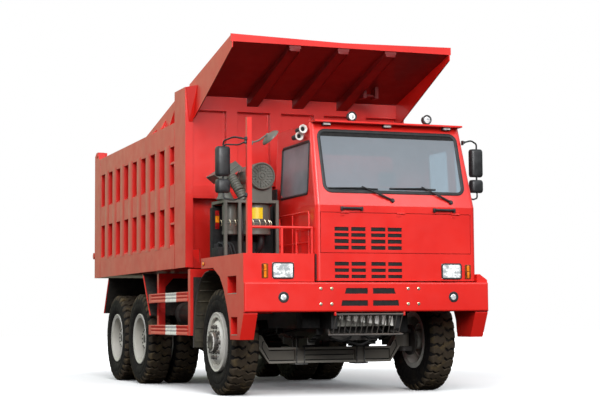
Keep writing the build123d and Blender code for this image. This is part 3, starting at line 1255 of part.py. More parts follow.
def build_tyre(places, axle):
    """Tyres of one wheel set, one for each middle place along X, on an axle."""
    with BuildPart() as tyre:
        for x in places:
            with BuildSketch(Plane.XZ.offset(-at(axle))) as section:
                with BuildLine():
                    half = TYRE_W / 2
                    right = [
                        (x + BEAD_HALF, AXLE_Z + BEAD_R + FIT_GAP),
                        (x + BEAD_HALF, AXLE_Z + FLANGE_R + 12),
                        (x + half, AXLE_Z + TYRE_R * 0.76),
                        (x + TREAD_HALF + 22, AXLE_Z + TYRE_R - SHOULDER_DROP),
                        (x + TREAD_HALF, AXLE_Z + TYRE_R),
                    ]
                    left = [(2 * x - px, pz) for px, pz in reversed(right)]
                    Polyline(*right, *left, close=True)
                make_face()
            spin = Axis((x, at(axle), AXLE_Z), (1, 0, 0))
            revolve(section.sketch, axis=spin)
    return tyre


def ring_x(outer, inner, x, axle, mode=Mode.ADD):
    """Adds a ring about an axle's line, between two radii, over an X range."""
    with BuildSketch(Plane.YZ.offset(x[0])) as section:
        with Locations((at(axle), AXLE_Z)):
            Circle(outer)
            if inner:
                Circle(inner, mode=Mode.SUBTRACT)
    extrude(section.sketch, amount=x[1] - x[0], mode=mode)


def rim_rings(x, axle):
    """Adds a rim's barrel and its two flanges about the middle place x."""
    reach = BEAD_HALF + FIT_GAP
    ring_x(BEAD_R, BEAD_R - BARREL_T, (x - reach - FLANGE_T, x + reach + FLANGE_T), axle)
    for side in (-1, 1):
        flange = sorted((x + side * reach, x + side * (reach + FLANGE_T)))
        ring_x(FLANGE_R, BEAD_R - BARREL_T, flange, axle)


def build_front_rim(side):
    """Front wheel: rim with its lock ring, coned disc and the hub that turns on the spindle."""
    with BuildPart() as rim:
        rim_rings(-FRONT_TYRE_X, 0)
        lip = (-FRONT_LIP_X, -FRONT_TYRE_X - BEAD_HALF - FIT_GAP)
        ring_x(FLANGE_R, BEAD_R - BARREL_T, lip, 0)
        face = [
            (-FRONT_DISC_X[0], BEAD_R - BARREL_T + 1),
            (-FRONT_DISC_X[1], FRONT_DISC_R),
            (-FRONT_DISC_X[1], SPINDLE_R + PIN_GAP),
        ]
        back = [(x + WHEEL_DISC_T, radius) for x, radius in reversed(face)]
        with BuildSketch(Plane.XZ.offset(-at(0))) as disc:
            with BuildLine():
                Polyline(*[(x, AXLE_Z + radius) for x, radius in face + back], close=True)
            make_face()
        revolve(disc.sketch, axis=Axis((0, at(0), AXLE_Z), (1, 0, 0)))
        ring_x(FRONT_HUB_R, SPINDLE_R + PIN_GAP, (-FRONT_HUB_END, -FRONT_HUB_START), 0)
        ring_x(FRONT_HUB_R, 0, (-FRONT_HUB_END, HUB_CAP_T - FRONT_HUB_END), 0)
        drum_end = WHEEL_DISC_T + 4 - FRONT_DISC_X[1]
        ring_x(DRUM_R, DRUM_R - DRUM_T, (drum_end, drum_end + DRUM_LENGTH), 0)
    if side < 0:
        return rim
    with BuildPart() as left_rim:
        add(mirror(rim.part, about=Plane.YZ))
    return left_rim


def build_rear_rims(side, axle):
    """Twin wheel: two rims back to back, their drum and the planetary hub."""
    with BuildPart() as rims:
        for x in (REAR_INNER_X, REAR_OUTER_X):
            rim_rings(side * x, axle)
        seam = (REAR_INNER_X + REAR_OUTER_X) / 2
        disc = sorted((side * (seam - WHEEL_DISC_T), side * (seam + WHEEL_DISC_T)))
        ring_x(BEAD_R - BARREL_T + 1, SPINDLE_R + PIN_GAP, disc, axle)
        inner_end = REAR_INNER_X + BEAD_HALF + FIT_GAP + FLANGE_T
        outer_start = REAR_OUTER_X - BEAD_HALF - FIT_GAP - FLANGE_T
        tube = sorted((side * (inner_end - 1), side * (outer_start + 1)))
        ring_x(BEAD_R - 1, BEAD_R - BARREL_T, tube, axle)
        hub = sorted((side * REAR_HUB_START, side * REAR_HUB_END))
        ring_x(REAR_HUB_R, SPINDLE_R + PIN_GAP, hub, axle)
        cap = sorted((side * (REAR_HUB_END - HUB_CAP_T), side * REAR_HUB_END))
        ring_x(REAR_HUB_R, 0, cap, axle)
        drum = sorted((side * REAR_HUB_START, side * (REAR_HUB_START + DRUM_LENGTH)))
        ring_x(DRUM_R, REAR_HUB_R - 1, drum, axle)
    return rims


def build_knuckle(side):
    """Steering knuckle: fork on the kingpin, back plate, spindle and steering arm."""
    low = AXLE_Z - EYE_HALF
    high = AXLE_Z + EYE_HALF
    fork = sorted((side * (KINGPIN_X), side * (PLATE_X - 1)))
    with BuildPart() as knuckle:
        for z in ((low - RUN_GAP - LUG_T, low - RUN_GAP), (high + RUN_GAP, high + RUN_GAP + LUG_T)):
            rod_z(LUG_R, z, side * KINGPIN_X, at(0))
            block(fork, span((-LUG_R, LUG_R)), z)
        plate = sorted((side * (PLATE_X - PLATE_T), side * PLATE_X))
        ring_x(BACK_PLATE_R, 0, plate, 0)
        rod_x(SPINDLE_R, sorted((side * (PLATE_X - 1), side * (FRONT_HUB_END - 40))), at(0), AXLE_Z)
        rod_z(KINGPIN_R, (low - RUN_GAP - LUG_T, high + RUN_GAP + LUG_T), side * KINGPIN_X, at(0))
        arm_x = sorted((side * (KINGPIN_X - 40), side * (KINGPIN_X + 40)))
        block(arm_x, span((0, STEER_ARM)), (low - RUN_GAP - LUG_T, low - RUN_GAP - 20))
    return knuckle


for side_name, side in (("left", 1), ("right", -1)):
    knuckle = build_knuckle(side)
    knuckle.part.label = f"knuckle_{side_name}"
    export_step(knuckle.part, f"parts/knuckle_{side_name}.step")
    tyre = build_tyre((side * FRONT_TYRE_X,), 0)
    tyre.part.label = f"tyre_front_{side_name}"
    export_step(tyre.part, f"parts/tyre_front_{side_name}.step")
    rim = build_front_rim(side)
    rim.part.label = f"rim_front_{side_name}"
    export_step(rim.part, f"parts/rim_front_{side_name}.step")
    for axle_name, axle in (("middle", MIDDLE_AXLE), ("rear", REAR_AXLE)):
        tyre = build_tyre((side * REAR_INNER_X, side * REAR_OUTER_X), axle)
        tyre.part.label = f"tyres_{axle_name}_{side_name}"
        export_step(tyre.part, f"parts/tyres_{axle_name}_{side_name}.step")
        rims = build_rear_rims(side, axle)
        rims.part.label = f"rims_{axle_name}_{side_name}"
        export_step(rims.part, f"parts/rims_{axle_name}_{side_name}.step")

# Dump body floor with its beams, hinge ears and hoist ears
FLOOR_TOP = BODY_Z + BODY_FLOOR_T
with BuildPart() as dump_floor:
    floor_y = span((HEAD_LOWER_Y, GATE_Y[0] - RUN_GAP))
    floor_half = SIDE_INNER_X - FIT_GAP
    block((-floor_half, floor_half), floor_y, (BODY_Z, FLOOR_TOP))
    block((-floor_half, floor_half), span((GATE_Y[0] - RUN_GAP - 1, BODY_REAR)), (BODY_Z, GATE_Z[0] - 25))
    for side in (-1, 1):
        corner = side * floor_half
        prism_y(
            [(corner, FLOOR_TOP - 1), (corner, FLOOR_TOP + GUSSET), (corner - side * GUSSET, FLOOR_TOP - 1)],
            floor_y,
        )
        beam = sorted((side * (BODY_BEAM_X - BODY_BEAM_W / 2), side * (BODY_BEAM_X + BODY_BEAM_W / 2)))
        block(beam, span(BODY_BEAM_Y), (BODY_BEAM_Z, BODY_Z + 1))
        ear = sorted((side * EAR_X, side * (EAR_X + EAR_T)))
        rod_x(EAR_R, ear, at(PIVOT_Y), PIVOT_Z)
        block(ear, span((PIVOT_Y - EAR_R, PIVOT_Y + EAR_R)), (PIVOT_Z, BODY_Z + 1))
        rod_x(PIVOT_R + PIN_GAP, (ear[0] - 1, ear[1] + 1), at(PIVOT_Y), PIVOT_Z, Mode.SUBTRACT)
        pin_x = sorted((side * (BODY_BEAM_X), side * (HOIST_X + HOIST_EYE_W / 2 + 70)))
        rod_x(HOIST_PIN_R, pin_x, at(HOIST_HIGH[0]), HOIST_HIGH[1])
        cheek = HOIST_X + max(HOIST_EYE_W / 2, HOIST_R[2]) + RUN_GAP
        cheek_x = sorted((side * cheek, side * (cheek + 40)))
        block(cheek_x, span((HOIST_HIGH[0] - 60, HOIST_HIGH[0] + 60)), (HOIST_HIGH[1] - 60, BODY_Z + 1))
dump_floor.part.label = "dump_floor"
export_step(dump_floor.part, "parts/dump_floor.step")

# Dump body sides: ribbed walls with front posts, top rails, spill boards and rear ears

def top_rail_z(y):
    """Height of the side's top rail at a place behind the front axle."""
    share = (y - POST_REAR) / (BODY_REAR - POST_REAR)
    return RAIL_TOP_FRONT_Z + share * (RAIL_TOP_REAR_Z - RAIL_TOP_FRONT_Z)


with BuildPart() as dump_sides:
    for side in (-1, 1):
        wall = sorted((side * SIDE_INNER_X, side * HALF_WIDTH))
        prism_x(
            [
                (at(BODY_FRONT), BODY_Z),
                (at(BODY_REAR), BODY_Z),
                (at(BODY_REAR), RAIL_TOP_REAR_Z),
                (at(POST_REAR), RAIL_TOP_FRONT_Z),
                (at(POST_REAR), POST_CREST_Z),
                (at(BODY_FRONT), POST_CREST_Z),
            ],
            wall,
        )
        recess = sorted((side * (SIDE_INNER_X + SIDE_SKIN_T), side * (HALF_WIDTH + 1)))
        for index in range(WINDOW_COUNT):
            middle = WINDOW_FIRST + index * WINDOW_PITCH
            width = WINDOW_W if index else WINDOW_W - WINDOW_NARROW
            columns = span((middle - width / 2, middle + width / 2))
            for low, high in (WINDOW_LOWER_Z, WINDOW_UPPER_Z):
                block(recess, columns, (low, high), Mode.SUBTRACT)
            if index == 0:
                for z in WINDOW_BARS_Z:
                    bar_x = sided(side, (SIDE_INNER_X + SIDE_SKIN_T - 1, HALF_WIDTH - RUN_GAP))
                    block(bar_x, columns, (z - WINDOW_BAR_T / 2, z + WINDOW_BAR_T / 2))
        # Spill board from the post down to the top rail
        board = sorted((side * SIDE_INNER_X, side * (SIDE_INNER_X + 14)))
        prism_x(
            [
                (at(POST_REAR - 1), top_rail_z(POST_REAR) - 40),
                (at(SPILL_REAR), top_rail_z(SPILL_REAR) - 40),
                (at(SPILL_REAR), top_rail_z(SPILL_REAR) + 10),
                (at(POST_REAR - 1), POST_CREST_Z),
            ],
            board,
        )
        # Ear for the tailgate's hinge pin
        ear_y, ear_z = at(GATE_HINGE[0]), GATE_HINGE[1]
        ear_low = RAIL_TOP_REAR_Z - 60
        ear = sorted((side * (SIDE_INNER_X), side * HALF_WIDTH))
        prism_x(
            [
                (ear_y - 190, ear_low),
                (at(BODY_REAR), ear_low),
                (at(BODY_REAR), ear_z),
                (ear_y + GATE_EAR_R - 20, ear_z + GATE_EAR_R - 20),
                (ear_y - GATE_EAR_R + 20, ear_z + GATE_EAR_R - 20),
            ],
            ear,
        )
        rod_x(GATE_PIN_R + PIN_GAP, (ear[0] - 1, ear[1] + 1), ear_y, ear_z, Mode.SUBTRACT)
dump_sides.part.label = "dump_sides"
export_step(dump_sides.part, "parts/dump_sides.step")

# Headboard: stepped front wall with ribs
with BuildPart() as headboard:
    head_half = SIDE_INNER_X - FIT_GAP
    prism_x(
        [
            (at(HEAD_LOWER_Y), FLOOR_TOP + GUSSET + 20),
            (at(HEAD_LOWER_Y), HEAD_STEP_Z),
            (at(HEAD_UPPER_Y), HEAD_STEP_Z),
            (at(HEAD_UPPER_Y), HEAD_TOP_Z),
            (at(HEAD_UPPER_Y + HEAD_T), HEAD_TOP_Z),
            (at(HEAD_UPPER_Y + HEAD_T), HEAD_STEP_Z + HEAD_T),
            (at(HEAD_LOWER_Y + HEAD_T), HEAD_STEP_Z + HEAD_T - 60),
            (at(HEAD_LOWER_Y + HEAD_T), FLOOR_TOP + GUSSET + 20),
        ],
        (-head_half, head_half),
    )
    inner_half = head_half - GUSSET - 20
    foot_y = span((HEAD_LOWER_Y, HEAD_LOWER_Y + HEAD_T))
    block((-inner_half, inner_half), foot_y, (FLOOR_TOP + FIT_GAP, FLOOR_TOP + GUSSET + 21))
    for x in HEAD_RIB_X:
        block(
            (x - HEAD_RIB_W / 2, x + HEAD_RIB_W / 2),
            span((HEAD_UPPER_Y - HEAD_RIB_D, HEAD_UPPER_Y + 1)),
            (HEAD_STEP_Z + HEAD_BAND_H, HEAD_TOP_Z - HEAD_TOP_H),
        )
    top_y = span((HEAD_UPPER_Y - HEAD_RIB_D, HEAD_UPPER_Y + 1))
    band_y = span((HEAD_UPPER_Y - HEAD_BAND_D, HEAD_UPPER_Y + 1))
    block((-head_half, head_half), top_y, (HEAD_TOP_Z - HEAD_TOP_H, HEAD_TOP_Z))
    block((-head_half, head_half), band_y, (HEAD_STEP_Z, HEAD_STEP_Z + HEAD_BAND_H))
headboard.part.label = "headboard"
export_step(headboard.part, "parts/headboard.step")

# Canopy: sloping sheet with side plates, front lip and three beams under it
CANOPY_SLOPE = (HEAD_TOP_Z - CANOPY_FRONT_Z) / (HEAD_UPPER_Y - HEAD_RIB_D - CANOPY_FRONT)


def canopy_z(y):
    """Height of the canopy sheet's underside at a place behind the front axle."""
    return CANOPY_FRONT_Z + (y - CANOPY_FRONT) * CANOPY_SLOPE


with BuildPart() as canopy:
    sheet_rear = HEAD_UPPER_Y + HEAD_T
    sheet_half = CANOPY_HALF - FIT_GAP if CANOPY_HALF < SIDE_INNER_X else SIDE_INNER_X - FIT_GAP
    lift = FIT_GAP
    prism_x(
        [
            (at(CANOPY_FRONT), canopy_z(CANOPY_FRONT) + lift),
            (at(HEAD_UPPER_Y - HEAD_RIB_D), HEAD_TOP_Z + lift),
            (at(sheet_rear), HEAD_TOP_Z + lift),
            (at(sheet_rear), HEAD_TOP_Z + lift + CANOPY_T),
            (at(HEAD_UPPER_Y - HEAD_RIB_D), HEAD_TOP_Z + lift + CANOPY_T),
            (at(CANOPY_FRONT), canopy_z(CANOPY_FRONT) + lift + CANOPY_T),
        ],
        (-sheet_half, sheet_half),
    )
    lip_low = CANOPY_FRONT_Z
    lip_high = CANOPY_TOP[0][1]
    prism_y(
        [
            (-CANOPY_HALF, lip_low),
            (CANOPY_HALF, lip_low),
            (CANOPY_HALF, lip_high),
            (0, lip_high - CANOPY_DIP),
            (-CANOPY_HALF, lip_high),
        ],
        span((CANOPY_FRONT, CANOPY_FRONT + CANOPY_LIP_T)),
    )
    for side in (-1, 1):
        plate = sorted((side * (SIDE_INNER_X - FIT_GAP - CANOPY_PLATE_T), side * (SIDE_INNER_X - FIT_GAP)))
        prism_x(
            [
                (at(CANOPY_FRONT), CANOPY_TOP[0][1]),
                (at(CANOPY_TOP[1][0]), CANOPY_TOP[1][1]),
                (at(CANOPY_TOP[1][0]), HEAD_TOP_Z + 4),
                (at(HEAD_UPPER_Y - HEAD_RIB_D) - FIT_GAP, HEAD_TOP_Z + 4),
                (at(HEAD_UPPER_Y - HEAD_RIB_D) - FIT_GAP, CANOPY_LOW[1][1]),
                (at(CANOPY_LOW[1][0]), CANOPY_LOW[1][1]),
                (at(CANOPY_FRONT), CANOPY_LOW[0][1]),
            ],
            plate,
        )
    beam_rear = HEAD_UPPER_Y - HEAD_RIB_D - FIT_GAP
    for x in CANOPY_BEAM_X:
        prism_x(
            [
                (at(CANOPY_FRONT + 14), canopy_z(CANOPY_FRONT + 14) + 1),
                (at(beam_rear), canopy_z(beam_rear) + 30),
                (at(beam_rear), canopy_z(beam_rear) - CANOPY_BEAM_D),
                (at(CANOPY_FRONT + 60), canopy_z(CANOPY_FRONT + 14) - 60),
                (at(CANOPY_FRONT + 14), canopy_z(CANOPY_FRONT + 14) - 40),
            ],
            (x - CANOPY_BEAM_W / 2, x + CANOPY_BEAM_W / 2),
        )
canopy.part.label = "canopy"
export_step(canopy.part, "parts/canopy.step")

# Tailgate, hung from the ears on its pins
with BuildPart() as tailgate:
    gate_half = SIDE_INNER_X - RUN_GAP
    block((-gate_half, gate_half), span(GATE_Y), GATE_Z)
    rib_y = span((GATE_Y[1] - 1, GATE_Y[1] + GATE_RIB_T))
    for share in GATE_RIBS:
        x = share * gate_half
        block((x - GATE_RIB_W / 2, x + GATE_RIB_W / 2), rib_y, GATE_Z)
    for z in (GATE_Z[0], (GATE_Z[0] + GATE_Z[1] - GATE_BAND_H) / 2, GATE_Z[1] - GATE_BAND_H):
        block((-gate_half, gate_half), rib_y, (z, z + GATE_BAND_H))
    for side in (-1, 1):
        arm = sorted((side * (gate_half - GATE_ARM_T), side * gate_half))
        hinge_y, hinge_z = at(GATE_HINGE[0]), GATE_HINGE[1]
        prism_x(
            [
                (at(GATE_Y[0]), GATE_Z[1] - 60),
                (at(GATE_Y[1]), GATE_Z[1] - 60),
                (at(GATE_Y[1]), hinge_z),
                (hinge_y + 30, hinge_z + 55),
                (hinge_y - 45, hinge_z + 55),
                (hinge_y - 45, hinge_z - 55),
            ],
            arm,
        )
        pin = sorted((side * (gate_half - 1), side * GATE_PIN_END))
        rod_x(GATE_PIN_R, pin, hinge_y, hinge_z)
        peg = sorted((side * (gate_half - 60), side * GATE_PIN_END))
        peg_y = at(LOCK_PEG_Y)
        rod_x(LOCK_PEG_R, peg, peg_y, LOCK_PEG_Z)
        seat = sorted((side * (gate_half - 60), side * gate_half))
        block(seat, (at(GATE_Y[1]) - 1, peg_y), (LOCK_PEG_Z - LOCK_PEG_SEAT, LOCK_PEG_Z + LOCK_PEG_SEAT))
tailgate.part.label = "tailgate"
export_step(tailgate.part, "parts/tailgate.step")

# Hoist: barrels on the cross tube, telescopic sleeves and rods up to the dump body's pins
HOIST_RUN = (HOIST_HIGH[0] - HOIST_LOW[0], HOIST_HIGH[1] - HOIST_LOW[1])
HOIST_LENGTH = hypot(*HOIST_RUN)
HOIST_DIRECTION = (0.0, HOIST_RUN[0] / HOIST_LENGTH, HOIST_RUN[1] / HOIST_LENGTH)


def hoist_point(x, distance):
    """A point on a hoist's line, at a distance from its lower pin."""
    return (
        x,
        at(HOIST_LOW[0]) + HOIST_DIRECTION[1] * distance,
        HOIST_LOW[1] + HOIST_DIRECTION[2] * distance,
    )


def hoist_tube(x, start, end, outer, inner, mode=Mode.ADD):
    """Adds a tube along a hoist's line."""
    with BuildSketch(Plane(origin=hoist_point(x, start), z_dir=HOIST_DIRECTION)) as section:
        Circle(outer)
        if inner:
            Circle(inner, mode=Mode.SUBTRACT)
    extrude(section.sketch, amount=end - start, mode=mode)


BARREL_END = HOIST_LENGTH - 210
SLEEVE_START = 150.0
SLEEVE_END = HOIST_LENGTH - 165
ROD_START = 190.0
EYE_OUT_R = 72.0
with BuildPart() as hoist_barrels:
    for x in (-HOIST_X, HOIST_X):
        hoist_tube(x, 40, 110, HOIST_R[0], 0)
        hoist_tube(x, 109, BARREL_END, HOIST_R[0], HOIST_R[1] + PIN_GAP)
        eye = (x - HOIST_EYE_W / 2, x + HOIST_EYE_W / 2)
        rod_x(EYE_OUT_R, eye, at(HOIST_LOW[0]), HOIST_LOW[1])
    for x in (-HOIST_X, HOIST_X):
        bore = (x - HOIST_EYE_W / 2 - 60, x + HOIST_EYE_W / 2 + 60)
        rod_x(HOIST_PIN_R + PIN_GAP, bore, at(HOIST_LOW[0]), HOIST_LOW[1], Mode.SUBTRACT)
hoist_barrels.part.label = "hoist_barrels"
export_step(hoist_barrels.part, "parts/hoist_barrels.step")

with BuildPart() as hoist_sleeves:
    for x in (-HOIST_X, HOIST_X):
        hoist_tube(x, SLEEVE_START, SLEEVE_END, HOIST_R[1], HOIST_R[2] + PIN_GAP)
hoist_sleeves.part.label = "hoist_sleeves"
export_step(hoist_sleeves.part, "parts/hoist_sleeves.step")

with BuildPart() as hoist_rods:
    for x in (-HOIST_X, HOIST_X):
        hoist_tube(x, ROD_START, HOIST_LENGTH - 30, HOIST_R[2], 0)
        eye = (x - HOIST_EYE_W / 2, x + HOIST_EYE_W / 2)
        rod_x(EYE_OUT_R, eye, at(HOIST_HIGH[0]), HOIST_HIGH[1])
    for x in (-HOIST_X, HOIST_X):
        bore = (x - HOIST_EYE_W / 2 - 60, x + HOIST_EYE_W / 2 + 60)
        rod_x(HOIST_PIN_R + PIN_GAP, bore, at(HOIST_HIGH[0]), HOIST_HIGH[1], Mode.SUBTRACT)
hoist_rods.part.label = "hoist_rods"
export_step(hoist_rods.part, "parts/hoist_rods.step")

# Driver's door on the left, hung at its front edge
door_range_y = (at(DOOR_Y[0] + DOOR_GAP), at(DOOR_Y[1] - DOOR_GAP))
door_range_z = (DOOR_Z[0] + DOOR_GAP, DOOR_Z[1] - DOOR_GAP)
door_slab = wall_plate(1, door_range_y, door_range_z, 0, CAB_WALL, DOOR_RADIUS - DOOR_GAP)
with BuildPart() as door_left:
    add(door_slab.part)
    reach = (CAB_X + 800, CAB_X + 1300)
    side_plate(reach, span(DOOR_WINDOW_Y), DOOR_WINDOW_Z, DOOR_RADIUS, Mode.SUBTRACT)
    door_hinges(0, 1, False)
door_left.part.label = "door_left"
export_step(door_left.part, "parts/door_left.step")

glass_range_y = (at(DOOR_WINDOW_Y[0]) + FIT_GAP, at(DOOR_WINDOW_Y[1]) - FIT_GAP)
glass_range_z = (DOOR_WINDOW_Z[0] + FIT_GAP, DOOR_WINDOW_Z[1] - FIT_GAP)
glass_radius = DOOR_RADIUS - FIT_GAP
door_glass = wall_plate(1, glass_range_y, glass_range_z, GLASS_INSET, GLASS_INSET + GLASS_T, glass_radius)
door_glass.part.label = "door_glass"
export_step(door_glass.part, "parts/door_glass.step")

# Front hatch with the upper grille, hung at its top edge
with BuildPart() as front_hatch:
    front_plate(
        (HATCH_X[0] + HATCH_GAP, HATCH_X[1] - HATCH_GAP),
        span((CAB_FRONT, CAB_FRONT + HATCH_T)),
        (HATCH_Z[0] + HATCH_GAP, HATCH_Z[1] - HATCH_GAP),
        8,
    )
    for low, high in GRILLE_COLUMNS:
        for row in GRILLE_UPPER:
            block((low, high), span((CAB_FRONT - 1, CAB_FRONT + HATCH_T + 1)), row, Mode.SUBTRACT)
    hatch_hinges(0, -1, False)
front_hatch.part.label = "front_hatch"
export_step(front_hatch.part, "parts/front_hatch.step")
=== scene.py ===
"""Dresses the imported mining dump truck: enamelled steel, treaded tyres, glass, lamps and deck equipment.

Metres, +Z up, the front faces -Y and +X is the driver's left side. Shapes are drawn with Y counted from the
front axle, and Shape.piece() moves them into the frame's own places.
"""

import logging
import math
from dataclasses import dataclass, field
from enum import Enum
from typing import Any, Callable, Iterable, Sequence

import bmesh
import bpy
from mathutils import Matrix, Vector


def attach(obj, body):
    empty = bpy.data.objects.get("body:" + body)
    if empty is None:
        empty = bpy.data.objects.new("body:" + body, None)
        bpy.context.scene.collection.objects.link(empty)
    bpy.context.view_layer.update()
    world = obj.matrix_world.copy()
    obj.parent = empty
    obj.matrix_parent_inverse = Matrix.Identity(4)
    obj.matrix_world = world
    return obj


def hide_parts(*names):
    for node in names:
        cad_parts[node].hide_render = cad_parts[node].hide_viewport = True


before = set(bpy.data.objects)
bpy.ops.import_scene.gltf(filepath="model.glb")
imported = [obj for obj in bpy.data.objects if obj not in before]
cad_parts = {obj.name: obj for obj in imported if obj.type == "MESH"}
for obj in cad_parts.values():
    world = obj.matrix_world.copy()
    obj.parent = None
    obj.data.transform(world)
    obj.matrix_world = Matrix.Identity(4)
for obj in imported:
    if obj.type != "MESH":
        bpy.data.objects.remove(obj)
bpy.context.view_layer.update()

LOG = logging.getLogger("dump_truck")
FRONT_AXLE_Y = -2.674
MIDDLE_AXLE = 3.816
REAR_AXLE = 5.258
AXLE_Z = 0.684
X_AXIS, Y_AXIS, Z_AXIS = (1, 0, 0), (0, 1, 0), (0, 0, 1)
FORWARD = (0, -1, 0)
SIDES = (-1, 1)

Point = tuple[float, float, float]
Range = tuple[float, float]
Profile = Sequence[Range]
Socket = bpy.types.NodeSocket
Tree = bpy.types.NodeTree


def per_metre(size_mm: float) -> float:
    """Texture scale whose pattern repeats about every size_mm millimetres."""
    return 1000.0 / size_mm


def linear(hex_colour: str) -> tuple[float, float, float, float]:
    """Turns an sRGB hex colour into linear RGBA.

    Args:
        hex_colour: six hex digits, with or without a leading #.

    Returns:
        Linear red, green and blue with alpha 1.
    """
    digits = hex_colour.lstrip("#")
    channels = []
    for start in (0, 2, 4):
        value = int(digits[start:start + 2], 16) / 255.0
        channels.append(value / 12.92 if value <= 0.04045 else ((value + 0.055) / 1.055) ** 2.4)
    return (channels[0], channels[1], channels[2], 1.0)


def add_node(
    tree: Tree, kind: str, settings: dict[str, Any] | None = None, feeds: dict[str | int, Any] | None = None
) -> bpy.types.Node:
    """Adds a shader node with its settings, socket values and links.

    Args:
        tree: the material's or world's node tree.
        kind: the node's type name, without its leading ShaderNode.
        settings: properties of the node itself.
        feeds: for each input socket, a plain value or the output socket that feeds it.

    Returns:
        The new node.
    """
    node = tree.nodes.new(f"ShaderNode{kind}")
    for key, value in (settings or {}).items():
        setattr(node, key, value)
    for key, value in (feeds or {}).items():
        if isinstance(value, Socket):
            tree.links.new(value, node.inputs[key])
        else:
            node.inputs[key].default_value = value
    return node


def remap(tree: Tree, value: Socket, ends: Range, to: Range = (0.0, 1.0), **settings: str) -> Socket:
    """Maps the range between two ends to another range, held beyond them."""
    feeds = {"Value": value, "From Min": ends[0], "From Max": ends[1], "To Min": to[0], "To Max": to[1]}
    return add_node(tree, "MapRange", settings, feeds).outputs["Result"]


def spread(tree: Tree, value: Socket, low: float, high: float) -> Socket:
    """Spreads a noise value's middle range over low to high."""
    return remap(tree, value, (0.3, 0.7), (low, high))


def arith(tree: Tree, operation: str, one: Any, two: Any) -> Socket:
    """Joins two values by a named operation."""
    return add_node(tree, "Math", {"operation": operation}, {0: one, 1: two}).outputs[0]


def blend(tree: Tree, share: Socket, one: Any, two: Any) -> Socket:
    """Mixes two colours, the second by its share."""
    return add_node(tree, "Mix", {"data_type": "RGBA"}, {0: share, 6: one, 7: two}).outputs[2]


def coordinate(tree: Tree, vector: Socket, letter: str) -> Socket:
    """One coordinate of a vector."""
    return add_node(tree, "SeparateXYZ", feeds={0: vector}).outputs[letter]


def object_place(tree: Tree) -> Socket:
    """The place on the object in metres, which moves with its body."""
    return add_node(tree, "TexCoord").outputs["Object"]


def speckle(tree: Tree, size_mm: float, detail: float = 3.0) -> Socket:
    """A noise value whose spots are about size_mm across."""
    feeds = {"Vector": object_place(tree), "Scale": per_metre(size_mm), "Detail": detail, "Roughness": 0.55}
    return add_node(tree, "TexNoise", feeds=feeds).outputs["Fac"]


def waves(tree: Tree, size_mm: float, direction: str, distortion: float, **feeds: float) -> Socket:
    """A wave value whose bands repeat about every size_mm along a direction.

    Args:
        tree: the material's node tree.
        size_mm: millimetres from band to band.
        direction: the axis that the bands cross.
        distortion: how much the bands waver.
        **feeds: other values of the texture.

    Returns:
        The value socket.
    """
    scale = per_metre(size_mm) / 6.3
    feeds = {"Vector": object_place(tree), "Scale": scale, "Distortion": distortion, **feeds}
    return add_node(tree, "TexWave", {"bands_direction": direction}, feeds).outputs["Fac"]


def ramp(tree: Tree, value: Socket, stops: Sequence[tuple[float, str]]) -> Socket:
    """Turns a value into colours.

    Args:
        tree: the material's node tree.
        value: the socket that chooses the colour.
        stops: places from 0 to 1 with their sRGB hex colours.

    Returns:
        The colour socket.
    """
    node = add_node(tree, "ValToRGB", feeds={"Fac": value})
    elements = node.color_ramp.elements
    while len(elements) < len(stops):
        elements.new(0.5)
    for element, (place, colour) in zip(elements, stops):
        element.position = place
        element.color = linear(colour)
    return node.outputs["Color"]


def bump(tree: Tree, height: Socket, strength: float, depth: float, **feeds: Socket) -> Socket:
    """A normal roughened by a height value, depth metres deep."""
    feeds = {"Strength": strength, "Distance": depth, "Height": height, **feeds}
    return add_node(tree, "Bump", feeds=feeds).outputs["Normal"]


def principled(tree: Tree, feeds: dict[str, Any]) -> Socket:
    """The surface of a principled shader with the given inputs."""
    return add_node(tree, "BsdfPrincipled", feeds=feeds).outputs["BSDF"]


class Body(Enum):
    """The moving bodies of the truck, as the frame names them."""

    CHASSIS = "chassis"
    DUMP = "dump_body"
    GATE = "gate"
    DOOR = "door"
    HATCH = "hatch"
    WHEEL_FRONT_LEFT = "wheel_front_left"
    WHEEL_FRONT_RIGHT = "wheel_front_right"
    WHEELS_MIDDLE_LEFT = "wheels_middle_left"
    WHEELS_MIDDLE_RIGHT = "wheels_middle_right"
    WHEELS_REAR_LEFT = "wheels_rear_left"
    WHEELS_REAR_RIGHT = "wheels_rear_right"


@dataclass(frozen=True)
class Finish:
    """A surface finish and the record's slot it mostly stands for; its material is made at the first use."""

    name: str
    slot: str

    def material(self) -> bpy.types.Material:
        """The finish's material.

        Returns:
            The material of this name, made when there is none yet.
        """
        known = bpy.data.materials.get(self.name)
        if known is not None:
            return known
        material = bpy.data.materials.new(self.name)
        material.use_nodes = True
        material.node_tree.nodes.clear()
        add_node(material.node_tree, "OutputMaterial", feeds={"Surface": self.shade(material.node_tree)})
        return material

    def shade(self, tree: Tree) -> Socket:
        """Builds the finish's nodes and returns the surface socket."""
        raise NotImplementedError


